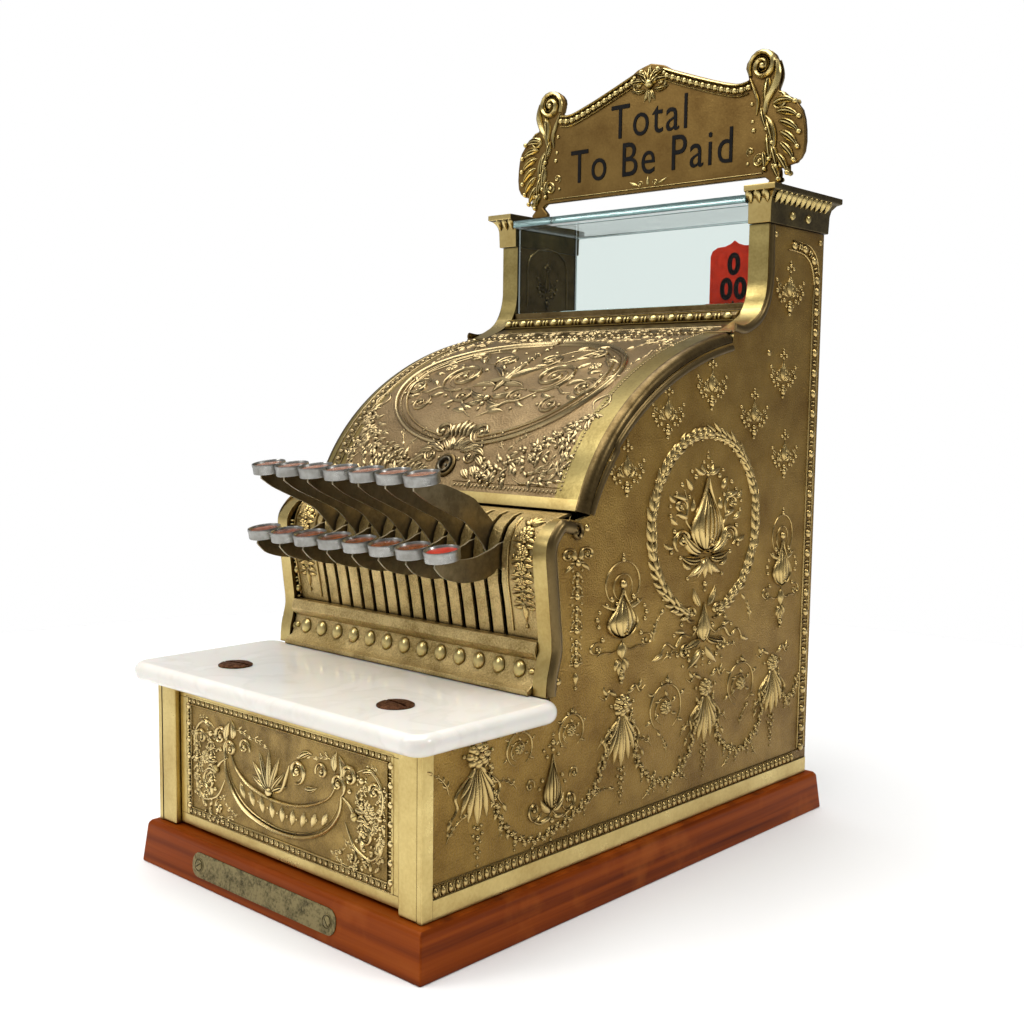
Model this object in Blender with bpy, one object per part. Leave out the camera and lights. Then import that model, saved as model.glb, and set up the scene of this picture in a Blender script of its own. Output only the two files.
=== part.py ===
"""Antique brass cash register of the small counter size, as an assembly of separate pieces.

Front faces -Y, +X is the right-hand side, +Z is up, and the origin is the middle of the
wooden base's underside. All lengths are metres.
"""

import math

import bmesh
import bpy
from mathutils import Matrix, Vector

# ------------------------------------------------------------------ driving dimensions
GAP = 0.0003                      # clearance between pieces that touch

BASE_HALF_WIDTH = 0.1297          # wooden base
BASE_FRONT = -0.200
BASE_BACK = 0.206
BASE_HEIGHT = 0.0274
BASE_SLOPE = 0.004                # how far the top edge steps in
BASE_ARRIS = 0.0035               # height of the rounded top edge

BADGE_HALF_LENGTH = 0.068         # blank badge on the base's front
BADGE_HALF_HEIGHT = 0.0075
BADGE_THICKNESS = 0.0010
BADGE_X = -0.006
BADGE_Z = 0.0128

CASE_HALF_WIDTH = 0.1209          # brass cabinet
CASE_FRONT = -0.1916
CASE_BACK = 0.1952
WALL = 0.003
CASE_FLOOR = BASE_HEIGHT + GAP
INNER_HALF_WIDTH = CASE_HALF_WIDTH - WALL - GAP

SHELF_HALF_WIDTH = 0.133          # marble shelf over the drawer
SHELF_FRONT = -0.206
SHELF_BACK = -0.0933
SHELF_TOP = 0.1305
SHELF_BOTTOM = 0.1185
SHELF_CORNER = 0.012
SHELF_SCREW_X = 0.0737
SHELF_SCREW_Y = -0.1667
SHELF_SCREW_HEAD = 0.0105
SHELF_SCREW_SHANK = 0.003

RIM_WIDTH = 0.010                 # bright rim that follows the S curve of each side
RIM_DEPTH = 0.003

COLUMN_WIDTH = 0.0144             # posts either side of the drawer
COLUMN_DEPTH = 0.0125

DRAWER_HALF_WIDTH = 0.1025
DRAWER_FACE_Y = -0.1872
DRAWER_FACE_THICKNESS = 0.004
DRAWER_BOTTOM = 0.0293
DRAWER_FACE_TOP = 0.1172
TILL_HALF_WIDTH = 0.0985
TILL_BACK = 0.075
TILL_TOP = 0.104
TILL_WALL = 0.005
COIN_CUPS = 4
NOTE_BAYS = 3
COIN_CUP_DEPTH = 0.070            # front to back

DECK_TOP = 0.1105                 # inner deck between drawer and mechanism
DECK_THICKNESS = 0.003

LID_CENTRE = (0.1368, 0.203)      # centre of the ellipse that the lid follows (y, z)
LID_RADII = (0.2086, 0.1448)
LID_FOOT_Y = -0.067
LID_HEAD_Y = 0.0808
LID_WALL = 0.0025
LID_ROLL = 0.006                  # rounded side edges
LID_LIP = 0.0065
LID_STATIONS = 12
SEAM_Y = 0.0822                   # hinge rod between lid and window bridge
HINGE_ROD_RADIUS = 0.001

WINDOW_HALF_WIDTH = 0.1055
WINDOW_FRONT = 0.1219
WINDOW_SILL_TOP = 0.3645
TOWER_TOP = 0.4162
TOWER_FOOT = 0.3340
CAPITAL_TOP = 0.441
CAPITAL_OVERHANG = 0.0088
GLASS = 0.0025
TOP_GLASS_BOTTOM = 0.4300
TOP_GLASS_TOP = 0.4355
TOP_GLASS_FRONT = 0.1160

SIGN_Y = 0.150
SIGN_THICKNESS = 0.004
SIGN_BOTTOM = 0.4518
SIGN_FOOT_X = 0.1065

KEY_COUNT = 15
KEY_PITCH = 0.0115
BLADE = 0.0014
SLOT = 0.0032
PIVOT_Y = -0.050
PIVOT_Z = 0.185
SHAFT_RADIUS = 0.004
SHAFT_REACH = 0.1075              # half of the key shaft's length
HUB_RADIUS = 0.0075
HUB_LENGTH = 0.006
CAP_RADIUS = 0.0105
CAP_HEIGHT = 0.0065
CAP_TILT_DEG = 10.0
LOWER_CAP = (-0.1389, 0.2114)     # (y, z) of the lower row of key caps
UPPER_CAP = (-0.1436, 0.2530)
TAIL_END_Y = 0.1630
TAIL_TOP = 0.1900

FLAG_WIDTH = 0.0395
FLAG_HEIGHT = 0.0455
FLAG_THICKNESS = 0.0010
FLAG_ROWS = 4
FLAG_FIRST_ROW_Y = 0.1437
FLAG_ROW_PITCH = 0.0045
FLAG_REST_TOP = 0.3640
FLAG_ROD_RADIUS = 0.0012
FLAG_ROD_CLEARANCE = 0.0005       # between a rod's foot and its key's tail
STANDING_RISE = 0.0460            # how far the last flag stands above the others
GUIDE_BOTTOM = 0.3000
GUIDE_THICKNESS = 0.0025


# ------------------------------------------------------------------ finishes
def finish(name, colour, metallic, roughness, alpha=1.0):
    """A Principled finish; colour is linear red, green, blue."""
    material = bpy.data.materials.new(name)
    material.use_nodes = True
    shader = material.node_tree.nodes["Principled BSDF"]
    shader.inputs["Base Color"].default_value = (*colour, 1.0)
    shader.inputs["Metallic"].default_value = metallic
    shader.inputs["Roughness"].default_value = roughness
    shader.inputs["Alpha"].default_value = alpha
    material.diffuse_color = (*colour, alpha)
    return material


def make_finishes():
    return {
        "brass": finish("cast_brass", (0.38, 0.27, 0.10), 1.0, 0.38),
        "bright": finish("bright_brass", (0.62, 0.50, 0.25), 1.0, 0.28),
        "bronze": finish("coppery_lid", (0.42, 0.28, 0.16), 1.0, 0.40),
        "steel": finish("dark_steel", (0.16, 0.15, 0.13), 1.0, 0.45),
        "wood": finish("varnished_wood", (0.20, 0.05, 0.018), 0.0, 0.35),
        "marble": finish("white_marble", (0.82, 0.80, 0.76), 0.0, 0.25),
        "glass": finish("sheet_glass", (0.80, 0.92, 0.90), 0.0, 0.03, 0.25),
        "red": finish("red_enamel", (0.60, 0.03, 0.02), 0.0, 0.40),
        "cream": finish("cream_enamel", (0.80, 0.74, 0.60), 0.0, 0.40),
        "rust": finish("rusty_iron", (0.16, 0.07, 0.03), 0.6, 0.70),
    }


# ------------------------------------------------------------------ modelling helpers
def clear_scene():
    for item in list(bpy.data.objects):
        bpy.data.objects.remove(item, do_unlink=True)


def add_piece(name, bm, material, origin=(0.0, 0.0, 0.0), smooth_angle=None):
    """Turn a bmesh in world coordinates into an object whose origin is at `origin`."""
    bmesh.ops.remove_doubles(bm, verts=bm.verts, dist=1e-6)
    bmesh.ops.recalc_face_normals(bm, faces=bm.faces)
    bmesh.ops.translate(bm, verts=bm.verts, vec=-Vector(origin))
    mesh = bpy.data.meshes.new(name)
    bm.to_mesh(mesh)
    bm.free()
    if smooth_angle:
        mesh.shade_smooth()
        mesh.set_sharp_from_angle(angle=math.radians(smooth_angle))
    mesh.materials.append(material)
    piece = bpy.data.objects.new(name, mesh)
    piece.location = origin
    bpy.context.scene.collection.objects.link(piece)
    return piece


def placed(axis, a, b, along):
    """A point from two coordinates in the plane square to `axis` and one along it."""
    if axis == "X":
        return Vector((along, a, b))
    if axis == "Y":
        return Vector((a, along, b))
    return Vector((a, b, along))


def prism(bm, outline, axis, low, high):
    """Extrude a flat outline from `low` to `high` along an axis; returns its new vertices."""
    ring = [bm.verts.new(placed(axis, a, b, low)) for a, b in outline]
    face = bm.faces.new(ring)
    grown = bmesh.ops.extrude_face_region(bm, geom=[face])["geom"]
    moved = [item for item in grown if isinstance(item, bmesh.types.BMVert)]
    bmesh.ops.translate(bm, verts=moved, vec=placed(axis, 0.0, 0.0, high - low))
    return ring + moved


def box(bm, low, high):
    """Add a plain box between two corners."""
    outline = [(low[0], low[1]), (high[0], low[1]), (high[0], high[1]), (low[0], high[1])]
    return prism(bm, outline, "Z", low[2], high[2])


def circle_points(centre, radius, count):
    """Points round a circle in a plane."""
    steps = [2.0 * math.pi * step / count for step in range(count)]
    return [(centre[0] + radius * math.cos(a), centre[1] + radius * math.sin(a)) for a in steps]


def arc_points(centre, radius, start_deg, end_deg, count):
    """Points along an arc, ends included."""
    points = []
    for step in range(count + 1):
        angle = math.radians(start_deg + (end_deg - start_deg) * step / count)
        points.append((centre[0] + radius * math.cos(angle), centre[1] + radius * math.sin(angle)))
    return points


def smooth_through(points, steps=2):
    """A Catmull-Rom curve through hand-chosen points, `steps` pieces between each two."""
    ends = [points[0], *points, points[-1]]
    curve = []
    for before, start, end, after in zip(ends, ends[1:], ends[2:], ends[3:]):
        for step in range(steps):
            t = step / steps
            weights = (
                -0.5 * t + t * t - 0.5 * t ** 3,
                1.0 - 2.5 * t * t + 1.5 * t ** 3,
                0.5 * t + 2.0 * t * t - 1.5 * t ** 3,
                -0.5 * t * t + 0.5 * t ** 3,
            )
            knots = (before, start, end, after)
            curve.append(tuple(sum(w * k[i] for w, k in zip(weights, knots)) for i in (0, 1)))
    return curve + [points[-1]]


def offset_line(points, distance):
    """Shift an open line sideways, to its right-hand side when distance is positive."""
    shifted = []
    for index, (a, b) in enumerate(points):
        before = points[max(index - 1, 0)]
        after = points[min(index + 1, len(points) - 1)]
        run = Vector((after[0] - before[0], after[1] - before[1])).normalized()
        shifted.append((a + run.y * distance, b - run.x * distance))
    return shifted


def skin(bm, rings, close_ends=True):
    """Join closed rings of equal length into one surface."""
    loops = [[bm.verts.new(point) for point in ring] for ring in rings]
    for near, far in zip(loops, loops[1:]):
        for index in range(len(near)):
            after = (index + 1) % len(near)
            bm.faces.new((near[index], near[after], far[after], far[index]))
    if close_ends:
        bm.faces.new(loops[0])
        bm.faces.new(loops[-1])


def turned(bm, profile, centre, segments):
    """Turn an (r, z) profile that starts and ends on the axis about a vertical axis."""
    edges = []
    verts = [bm.verts.new((centre[0] + r, centre[1], centre[2] + z)) for r, z in profile]
    for start, end in zip(verts, verts[1:]):
        edges.append(bm.edges.new((start, end)))
    bmesh.ops.spin(
        bm, geom=verts + edges, cent=centre, axis=(0.0, 0.0, 1.0),
        angle=2.0 * math.pi, steps=segments, use_merge=True,
    )
    bmesh.ops.remove_doubles(bm, verts=bm.verts, dist=1e-6)


def add_cutter(name, bm):
    """A hidden tool for a Boolean, which isn't part of the object."""
    bmesh.ops.recalc_face_normals(bm, faces=bm.faces)
    mesh = bpy.data.meshes.new(name)
    bm.to_mesh(mesh)
    bm.free()
    cutter = bpy.data.objects.new(name, mesh)
    cutter.hide_render = True
    cutter.display_type = "WIRE"
    bpy.context.scene.collection.objects.link(cutter)
    return cutter


def combine(piece, bm, operation):
    """Join or cut a piece with another shape in world coordinates."""
    tool = add_cutter(f"tool_{piece.name}_{len(piece.modifiers)}", bm)
    modifier = piece.modifiers.new(operation.lower(), "BOOLEAN")
    modifier.operation = operation
    modifier.solver = "EXACT"
    modifier.object = tool


def mirrored(outline):
    """Close a right-half outline, given from bottom to top, with its mirror image."""
    left = [(-a, b) for a, b in reversed(outline) if abs(a) > 1e-6]
    return outline + left


# ------------------------------------------------------------------ shared curves
def lid_height(y):
    """Height of the lid's outer surface at a given depth."""
    across = (y - LID_CENTRE[0]) / LID_RADII[0]
    return LID_CENTRE[1] + LID_RADII[1] * math.sqrt(1.0 - across * across)


def lid_curve(count):
    """The lid's outer profile from its foot to its head, evenly spaced in angle."""
    start = math.acos((LID_FOOT_Y - LID_CENTRE[0]) / LID_RADII[0])
    end = math.acos((LID_HEAD_Y - LID_CENTRE[0]) / LID_RADII[0])
    curve = []
    for step in range(count + 1):
        angle = start + (end - start) * step / count
        y = LID_CENTRE[0] + LID_RADII[0] * math.cos(angle)
        curve.append((y, LID_CENTRE[1] + LID_RADII[1] * math.sin(angle)))
    return curve


def rim_curve():
    """The S curve of the side's front edge, from the marble up to the scroll."""
    return smooth_through([
        (-0.0968, SHELF_TOP + GAP), (-0.0960, 0.1419), (-0.0924, 0.1564), (-0.0940, 0.1735),
        (-0.0975, 0.2018), (-0.0984, 0.2112), (-0.0970, 0.2184), (-0.0900, 0.2262), (-0.0800, 0.2300),
        (-0.0720, 0.2290),
    ])


def tower_front():
    """The concave sweep from the lid's seam up into the window post."""
    seam = (SEAM_Y + HINGE_ROD_RADIUS + GAP, lid_height(SEAM_Y))
    return smooth_through([
        seam, (0.0960, 0.3475), (0.1075, 0.3528), (0.1160, 0.3602), (0.1205, 0.3700), (WINDOW_FRONT, 0.3800),
    ])


# ------------------------------------------------------------------ base and cabinet
def make_base(finishes):
    bm = bmesh.new()
    rings = []
    face_slope, face_top = BASE_SLOPE * 0.8, BASE_HEIGHT - BASE_ARRIS
    for inset, z in ((0.0, 0.0), (face_slope, face_top),
                     (BASE_SLOPE, BASE_HEIGHT - 0.0012), (BASE_SLOPE + 0.0012, BASE_HEIGHT)):
        wide = BASE_HALF_WIDTH - inset
        front, back = BASE_FRONT + inset, BASE_BACK - inset
        rings.append([(-wide, front, z), (wide, front, z), (wide, back, z), (-wide, back, z)])
    skin(bm, rings)
    add_piece("wood_base", bm, finishes["wood"])

    bm = bmesh.new()
    lean = math.atan2(face_slope, face_top)
    outline = mirrored([
        (0.0, -BADGE_HALF_HEIGHT), (BADGE_HALF_LENGTH, -BADGE_HALF_HEIGHT),
        (BADGE_HALF_LENGTH, BADGE_HALF_HEIGHT), (0.0, BADGE_HALF_HEIGHT),
    ])
    prism(bm, outline, "Y", -BADGE_THICKNESS, 0.0)
    face_y = BASE_FRONT + math.tan(lean) * BADGE_Z - GAP
    placing = Matrix.Translation((BADGE_X, face_y, BADGE_Z)) @ Matrix.Rotation(-lean, 4, "X")
    bmesh.ops.transform(bm, matrix=placing, verts=bm.verts)
    add_piece("badge_plate", bm, finishes["bright"])


def side_outline():
    """Outline of a side plate in (y, z), clockwise from its front bottom corner."""
    under_lid = offset_line(lid_curve(12), LID_LIP + GAP)
    below_shelf = SHELF_BOTTOM - GAP
    behind_shelf = SHELF_BACK + GAP
    return (
        [(CASE_FRONT, CASE_FLOOR), (CASE_FRONT, below_shelf), (behind_shelf, below_shelf),
         (behind_shelf, SHELF_TOP + GAP)]
        + rim_curve()
        + under_lid
        + tower_front()
        + [(WINDOW_FRONT, TOWER_TOP), (CASE_BACK, TOWER_TOP), (CASE_BACK, CASE_FLOOR)]
    )


def make_side(name, side, finishes):
    """One side casting: wall, front rim and the window tower with its hollow."""
    outer = side * CASE_HALF_WIDTH
    inner = side * (CASE_HALF_WIDTH - WALL)
    bm = bmesh.new()
    prism(bm, side_outline(), "X", inner, outer)
    piece = add_piece(name, bm, finishes["brass"])

    bm = bmesh.new()
    rim = rim_curve()
    strip = rim + list(reversed(offset_line(rim, RIM_DEPTH)))
    prism(bm, strip, "X", side * (CASE_HALF_WIDTH - RIM_WIDTH), side * (CASE_HALF_WIDTH - WALL / 2))
    combine(piece, bm, "UNION")

    sweep = tower_front()
    seam_y = sweep[0][0]
    bm = bmesh.new()
    block = ([(seam_y, TOWER_FOOT)] + sweep
             + [(WINDOW_FRONT, TOWER_TOP), (CASE_BACK, TOWER_TOP), (CASE_BACK, TOWER_FOOT)])
    prism(bm, block, "X", side * WINDOW_HALF_WIDTH, side * (CASE_HALF_WIDTH - WALL / 2))
    combine(piece, bm, "UNION")

    bm = bmesh.new()
    top = TOWER_TOP - WALL
    front = WINDOW_FRONT + WALL
    hollow = [(seam_y + WALL, TOWER_FOOT - WALL), (seam_y + WALL, 0.3395), (0.1040, 0.3455), (0.1140, 0.3530),
              (front - 0.003, 0.3640), (front, 0.3760), (front, top), (CASE_BACK - WALL, top),
              (CASE_BACK - WALL, TOWER_FOOT - WALL)]
    prism(bm, hollow, "X", side * (WINDOW_HALF_WIDTH + 0.002), side * (CASE_HALF_WIDTH - WALL))
    combine(piece, bm, "DIFFERENCE")


def make_back(finishes):
    bm = bmesh.new()
    window = WINDOW_HALF_WIDTH - GAP
    outline = mirrored([
        (0.0, CASE_FLOOR), (INNER_HALF_WIDTH, CASE_FLOOR), (INNER_HALF_WIDTH, TOWER_FOOT - GAP),
        (window, TOWER_FOOT - GAP), (window, WINDOW_SILL_TOP), (0.0, WINDOW_SILL_TOP),
    ])
    prism(bm, outline, "Y", CASE_BACK - WALL, CASE_BACK)
    add_piece("back_plate", bm, finishes["brass"])


def make_columns(finishes):
    for name, side in (("front_column_left", -1), ("front_column_right", 1)):
        bm = bmesh.new()
        edges = sorted((side * INNER_HALF_WIDTH, side * (INNER_HALF_WIDTH - COLUMN_WIDTH)))
        box(bm, (edges[0], CASE_FRONT, CASE_FLOOR), (edges[1], CASE_FRONT + COLUMN_DEPTH, SHELF_BOTTOM - GAP))
        add_piece(name, bm, finishes["bright"])


# ------------------------------------------------------------------ marble shelf
def make_shelf(finishes):
    bm = bmesh.new()
    corner, nosing = SHELF_CORNER, 0.004
    wide = SHELF_HALF_WIDTH - corner
    front, back = SHELF_FRONT + corner, SHELF_BACK - corner
    outline = (arc_points((wide, front), corner, -90, 0, 5) + arc_points((wide, back), corner, 0, 90, 5)
               + arc_points((-wide, back), corner, 90, 180, 5) + arc_points((-wide, front), corner, 180, 270, 5))
    middle = (SHELF_FRONT + SHELF_BACK) / 2
    rings = []
    for lift, inset in ((0.0, nosing), (0.0012, 0.0012), (nosing, 0.0),
                        (SHELF_TOP - SHELF_BOTTOM - nosing, 0.0),
                        (SHELF_TOP - SHELF_BOTTOM - 0.0012, 0.0012), (SHELF_TOP - SHELF_BOTTOM, nosing)):
        across = (SHELF_HALF_WIDTH - inset) / SHELF_HALF_WIDTH
        deep = 1.0 - 2.0 * inset / (SHELF_BACK - SHELF_FRONT)
        rings.append([(x * across, middle + (y - middle) * deep, SHELF_BOTTOM + lift) for x, y in outline])
    skin(bm, rings)
    shelf = add_piece("marble_shelf", bm, finishes["marble"])
    for name, side in (("shelf_screw_left", -1), ("shelf_screw_right", 1)):
        centre = (side * SHELF_SCREW_X, SHELF_SCREW_Y)
        hole = bmesh.new()
        prism(hole, circle_points(centre, SHELF_SCREW_SHANK + GAP, 12), "Z", SHELF_BOTTOM - WALL, SHELF_TOP + WALL)
        combine(shelf, hole, "DIFFERENCE")
        bm = bmesh.new()
        head = SHELF_TOP + GAP
        profile = [(0.0, DECK_TOP + GAP), (SHELF_SCREW_SHANK, DECK_TOP + GAP), (SHELF_SCREW_SHANK, head),
                   (SHELF_SCREW_HEAD, head), (SHELF_SCREW_HEAD, head + 0.0006),
                   (SHELF_SCREW_HEAD * 0.8, head + 0.0015), (0.0, head + 0.0018)]
        turned(bm, profile, (*centre, 0.0), 16)
        screw = add_piece(name, bm, finishes["rust"], smooth_angle=35)
        slot = bmesh.new()
        box(slot, (centre[0] - 0.0085, centre[1] - 0.0008, head + 0.0010),
            (centre[0] + 0.0085, centre[1] + 0.0008, head + 0.003))
        combine(screw, slot, "DIFFERENCE")


def make_moulding(finishes):
    bm = bmesh.new()
    wide = CASE_HALF_WIDTH - RIM_WIDTH - GAP
    foot = SHELF_TOP + GAP
    outline = [(-0.0872, foot), (-0.1010, foot), (-0.1010, foot + 0.0030), (-0.0989, 0.1345), (-0.0952, 0.1372),
               (-0.0930, 0.1416), (-0.0915, 0.1498), (-0.0932, 0.1512), (-0.0952, 0.1545), (-0.0945, 0.1585),
               (-0.0935, 0.1607), (-0.0872, 0.1607)]
    prism(bm, outline, "X", -wide, wide)
    add_piece("base_moulding", bm, finishes["brass"])


# ------------------------------------------------------------------ key plate and keys
def key_x(index):
    """Sideways place of a key, numbered from 0 at the left."""
    return (index - (KEY_COUNT - 1) / 2) * KEY_PITCH


def make_key_plate(finishes):
    line = smooth_through([
        (-0.0860, 0.1400), (-0.0863, 0.1596), (-0.0895, 0.1776), (-0.0926, 0.1925), (-0.0930, 0.2070),
        (-0.0917, 0.2160), (-0.0875, 0.2240), (-0.0800, 0.2296), (-0.0700, 0.2322), (-0.0640, 0.2325),
    ], 1)
    bm = bmesh.new()
    wide = CASE_HALF_WIDTH - RIM_WIDTH - GAP
    prism(bm, line + list(reversed(offset_line(line, 0.0022))), "X", -wide, wide)
    plate = add_piece("key_plate", bm, finishes["brass"])
    slots = bmesh.new()
    for index in range(KEY_COUNT):
        x = key_x(index)
        box(slots, (x - SLOT / 2, -0.1000, 0.1570), (x + SLOT / 2, -0.0730, 0.2400))
    combine(plate, slots, "DIFFERENCE")


def lever_outline(front_top, front_bottom):
    """Whole side view of a key lever: hooked front blade, hub stretch and long tail."""
    tail = [(-0.0150, 0.1930), (0.0300, 0.1915), (TAIL_END_Y, TAIL_TOP), (TAIL_END_Y, TAIL_TOP - 0.0060),
            (0.0300, 0.1820), (-0.0200, 0.1800), (-0.0500, 0.1780)]
    return smooth_through(front_top) + tail + smooth_through(front_bottom)


LOWER_BLADE = lever_outline(
    [(-0.1440, 0.2080), (-0.1330, 0.2082), (-0.1240, 0.2076), (-0.1147, 0.2078), (-0.1060, 0.2100),
     (-0.0985, 0.2123), (-0.0923, 0.2147), (-0.0780, 0.2140), (-0.0500, 0.1960)],
    [(-0.0720, 0.1880), (-0.0924, 0.1995), (-0.0982, 0.1971), (-0.1064, 0.1948), (-0.1158, 0.1940),
     (-0.1237, 0.1943), (-0.1316, 0.1960), (-0.1393, 0.1990), (-0.1450, 0.2045)],
)
UPPER_BLADE = lever_outline(
    [(-0.1500, 0.2490), (-0.1400, 0.2500), (-0.1286, 0.2494), (-0.1169, 0.2457), (-0.1034, 0.2404),
     (-0.0979, 0.2358), (-0.0894, 0.2281), (-0.0740, 0.2150), (-0.0500, 0.1960)],
    [(-0.0720, 0.1900), (-0.0860, 0.2000), (-0.0933, 0.2099), (-0.0962, 0.2140), (-0.1031, 0.2212),
     (-0.1113, 0.2275), (-0.1285, 0.2350), (-0.1413, 0.2407), (-0.1500, 0.2462)],
)


def make_lever_mesh(name, outline, cap, material):
    """Blade, hub and cap of one key as a single mesh about the pivot."""
    bm = bmesh.new()
    prism(bm, outline, "X", -BLADE / 2, BLADE / 2)
    lever = add_piece(name, bm, material)

    bm = bmesh.new()
    prism(bm, circle_points((PIVOT_Y, PIVOT_Z), HUB_RADIUS, 12), "X", -HUB_LENGTH / 2, HUB_LENGTH / 2)
    combine(lever, bm, "UNION")

    bm = bmesh.new()
    half, lip, dish = CAP_HEIGHT / 2, 0.0014, 0.0010
    turned(bm, [(0.0, -half), (CAP_RADIUS, -half), (CAP_RADIUS, half), (CAP_RADIUS - lip, half),
                (CAP_RADIUS - lip, half - dish), (0.0, half - dish)], (0.0, 0.0, 0.0), 16)
    lean = Matrix.Translation((0.0, *cap)) @ Matrix.Rotation(math.radians(CAP_TILT_DEG), 4, "X")
    bmesh.ops.transform(bm, matrix=lean, verts=bm.verts)
    combine(lever, bm, "UNION")

    bm = bmesh.new()
    prism(bm, circle_points((PIVOT_Y, PIVOT_Z), SHAFT_RADIUS + GAP, 12), "X", -HUB_LENGTH, HUB_LENGTH)
    combine(lever, bm, "DIFFERENCE")

    shape = lever.evaluated_get(bpy.context.evaluated_depsgraph_get())
    mesh = bpy.data.meshes.new_from_object(shape)
    mesh.transform(Matrix.Translation((0.0, -PIVOT_Y, -PIVOT_Z)))
    for modifier in lever.modifiers:
        bpy.data.objects.remove(modifier.object, do_unlink=True)
    bpy.data.objects.remove(lever, do_unlink=True)
    return mesh


def make_keys(finishes):
    """Keys in odd places carry a lower cap and those in even places an upper cap."""
    lower = make_lever_mesh("lower_lever", LOWER_BLADE, LOWER_CAP, finishes["steel"])
    upper = make_lever_mesh("upper_lever", UPPER_BLADE, UPPER_CAP, finishes["steel"])
    for index in range(KEY_COUNT):
        key = bpy.data.objects.new(f"key_lever_{index + 1:02d}", lower if index % 2 == 0 else upper)
        key.location = (key_x(index), PIVOT_Y, PIVOT_Z)
        bpy.context.scene.collection.objects.link(key)

    bm = bmesh.new()
    prism(bm, circle_points((PIVOT_Y, PIVOT_Z), SHAFT_RADIUS, 12), "X", -SHAFT_REACH, SHAFT_REACH)
    add_piece("key_shaft", bm, finishes["steel"], smooth_angle=40)


# ------------------------------------------------------------------ price flags
def flag_place(index):
    """Where a flag's rod stands in (x, y); neighbours use different rows."""
    row = (KEY_COUNT - 1 - index) % FLAG_ROWS
    return key_x(index), FLAG_FIRST_ROW_Y + row * FLAG_ROW_PITCH


def flag_outline():
    """Arched flag with a small point at its top, from its bottom middle; z from 0."""
    half, height = FLAG_WIDTH / 2, FLAG_HEIGHT
    shoulder = height - 0.0100
    return mirrored([
        (0.0, 0.0), (half, 0.0), (half, shoulder), (half - 0.0016, shoulder + 0.0035),
        (half - 0.0060, shoulder + 0.0058), (half - 0.0120, shoulder + 0.0062), (0.0030, shoulder + 0.0078),
        (0.0, height),
    ])


def make_flags(finishes):
    """Each flag stands over its key's tail; the last one stands raised at rest."""
    for index in range(KEY_COUNT):
        standing = index == KEY_COUNT - 1
        lift = STANDING_RISE if standing else 0.0
        x, y = flag_place(index)
        bottom = FLAG_REST_TOP - FLAG_HEIGHT + lift
        foot = TAIL_TOP + FLAG_ROD_CLEARANCE + lift
        bm = bmesh.new()
        outline = [(x + a, bottom + b) for a, b in flag_outline()]
        prism(bm, outline, "Y", y - FLAG_THICKNESS / 2, y + FLAG_THICKNESS / 2)
        colour = finishes["red"] if standing else finishes["cream"]
        flag = add_piece(f"flag_{index + 1:02d}", bm, colour, origin=(x, y, foot))
        rod = bmesh.new()
        prism(rod, circle_points((x, y), FLAG_ROD_RADIUS, 6), "Z", foot, bottom + 0.004)
        combine(flag, rod, "UNION")

    bm = bmesh.new()
    box(bm, (-INNER_HALF_WIDTH, 0.1320, GUIDE_BOTTOM), (INNER_HALF_WIDTH, 0.1680, GUIDE_BOTTOM + GUIDE_THICKNESS))
    guide = add_piece("flag_guide", bm, finishes["steel"])
    holes = bmesh.new()
    for index in range(KEY_COUNT):
        outline = circle_points(flag_place(index), FLAG_ROD_RADIUS + 2 * GAP, 6)
        prism(holes, outline, "Z", GUIDE_BOTTOM - WALL, GUIDE_BOTTOM + GUIDE_THICKNESS + WALL)
    combine(guide, holes, "DIFFERENCE")


# ------------------------------------------------------------------ lid and lock
def make_lid(finishes):
    wide, roll, wall = CASE_HALF_WIDTH, LID_ROLL, LID_WALL
    section = [(wide, -LID_LIP)]
    section += [(wide - roll + a, -roll + b) for a, b in arc_points((0.0, 0.0), roll, 0, 90, 4)]
    inside = [(wide - roll + a, -roll + b) for a, b in arc_points((0.0, 0.0), roll - wall, 0, 90, 3)]
    ring = [(-a, b) for a, b in section] + list(reversed(section))
    ring += [(wide - wall, -LID_LIP)] + inside + [(-a, b) for a, b in reversed(inside)] + [(wall - wide, -LID_LIP)]
    curve = lid_curve(LID_STATIONS)
    below = offset_line(curve, 1.0)
    rings = []
    for (y, z), (low_y, low_z) in zip(curve, below):
        down = Vector((low_y - y, low_z - z))
        rings.append([(x, y - down.x * depth, z - down.y * depth) for x, depth in ring])
    bm = bmesh.new()
    skin(bm, rings)
    hinge = (0.0, SEAM_Y, lid_height(SEAM_Y))
    lid = add_piece("lid", bm, finishes["bronze"], origin=hinge, smooth_angle=35)

    centre, normal = lock_place()
    turn = Vector((0.0, 0.0, 1.0)).rotation_difference(normal).to_matrix().to_4x4()
    placing = Matrix.Translation(centre) @ turn
    bore = bmesh.new()
    prism(bore, circle_points((0.0, 0.0), 0.0058, 16), "Z", -0.012, 0.012)
    bmesh.ops.transform(bore, matrix=placing, verts=bore.verts)
    combine(lid, bore, "DIFFERENCE")

    bm = bmesh.new()
    turned(bm, [(0.0, -0.0090), (0.0055, -0.0090), (0.0055, 0.0055), (0.0047, 0.0060), (0.0036, 0.0060),
                (0.0032, 0.0030), (0.0, 0.0030)], (0.0, 0.0, 0.0), 16)
    bmesh.ops.transform(bm, matrix=placing, verts=bm.verts)
    add_piece("lid_lock", bm, finishes["steel"], origin=centre, smooth_angle=35)

    bm = bmesh.new()
    reach = CASE_HALF_WIDTH - 0.0010
    prism(bm, circle_points((SEAM_Y, lid_height(SEAM_Y)), HINGE_ROD_RADIUS, 10), "X", -reach, reach)
    add_piece("lid_hinge_rod", bm, finishes["brass"], smooth_angle=50)


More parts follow.
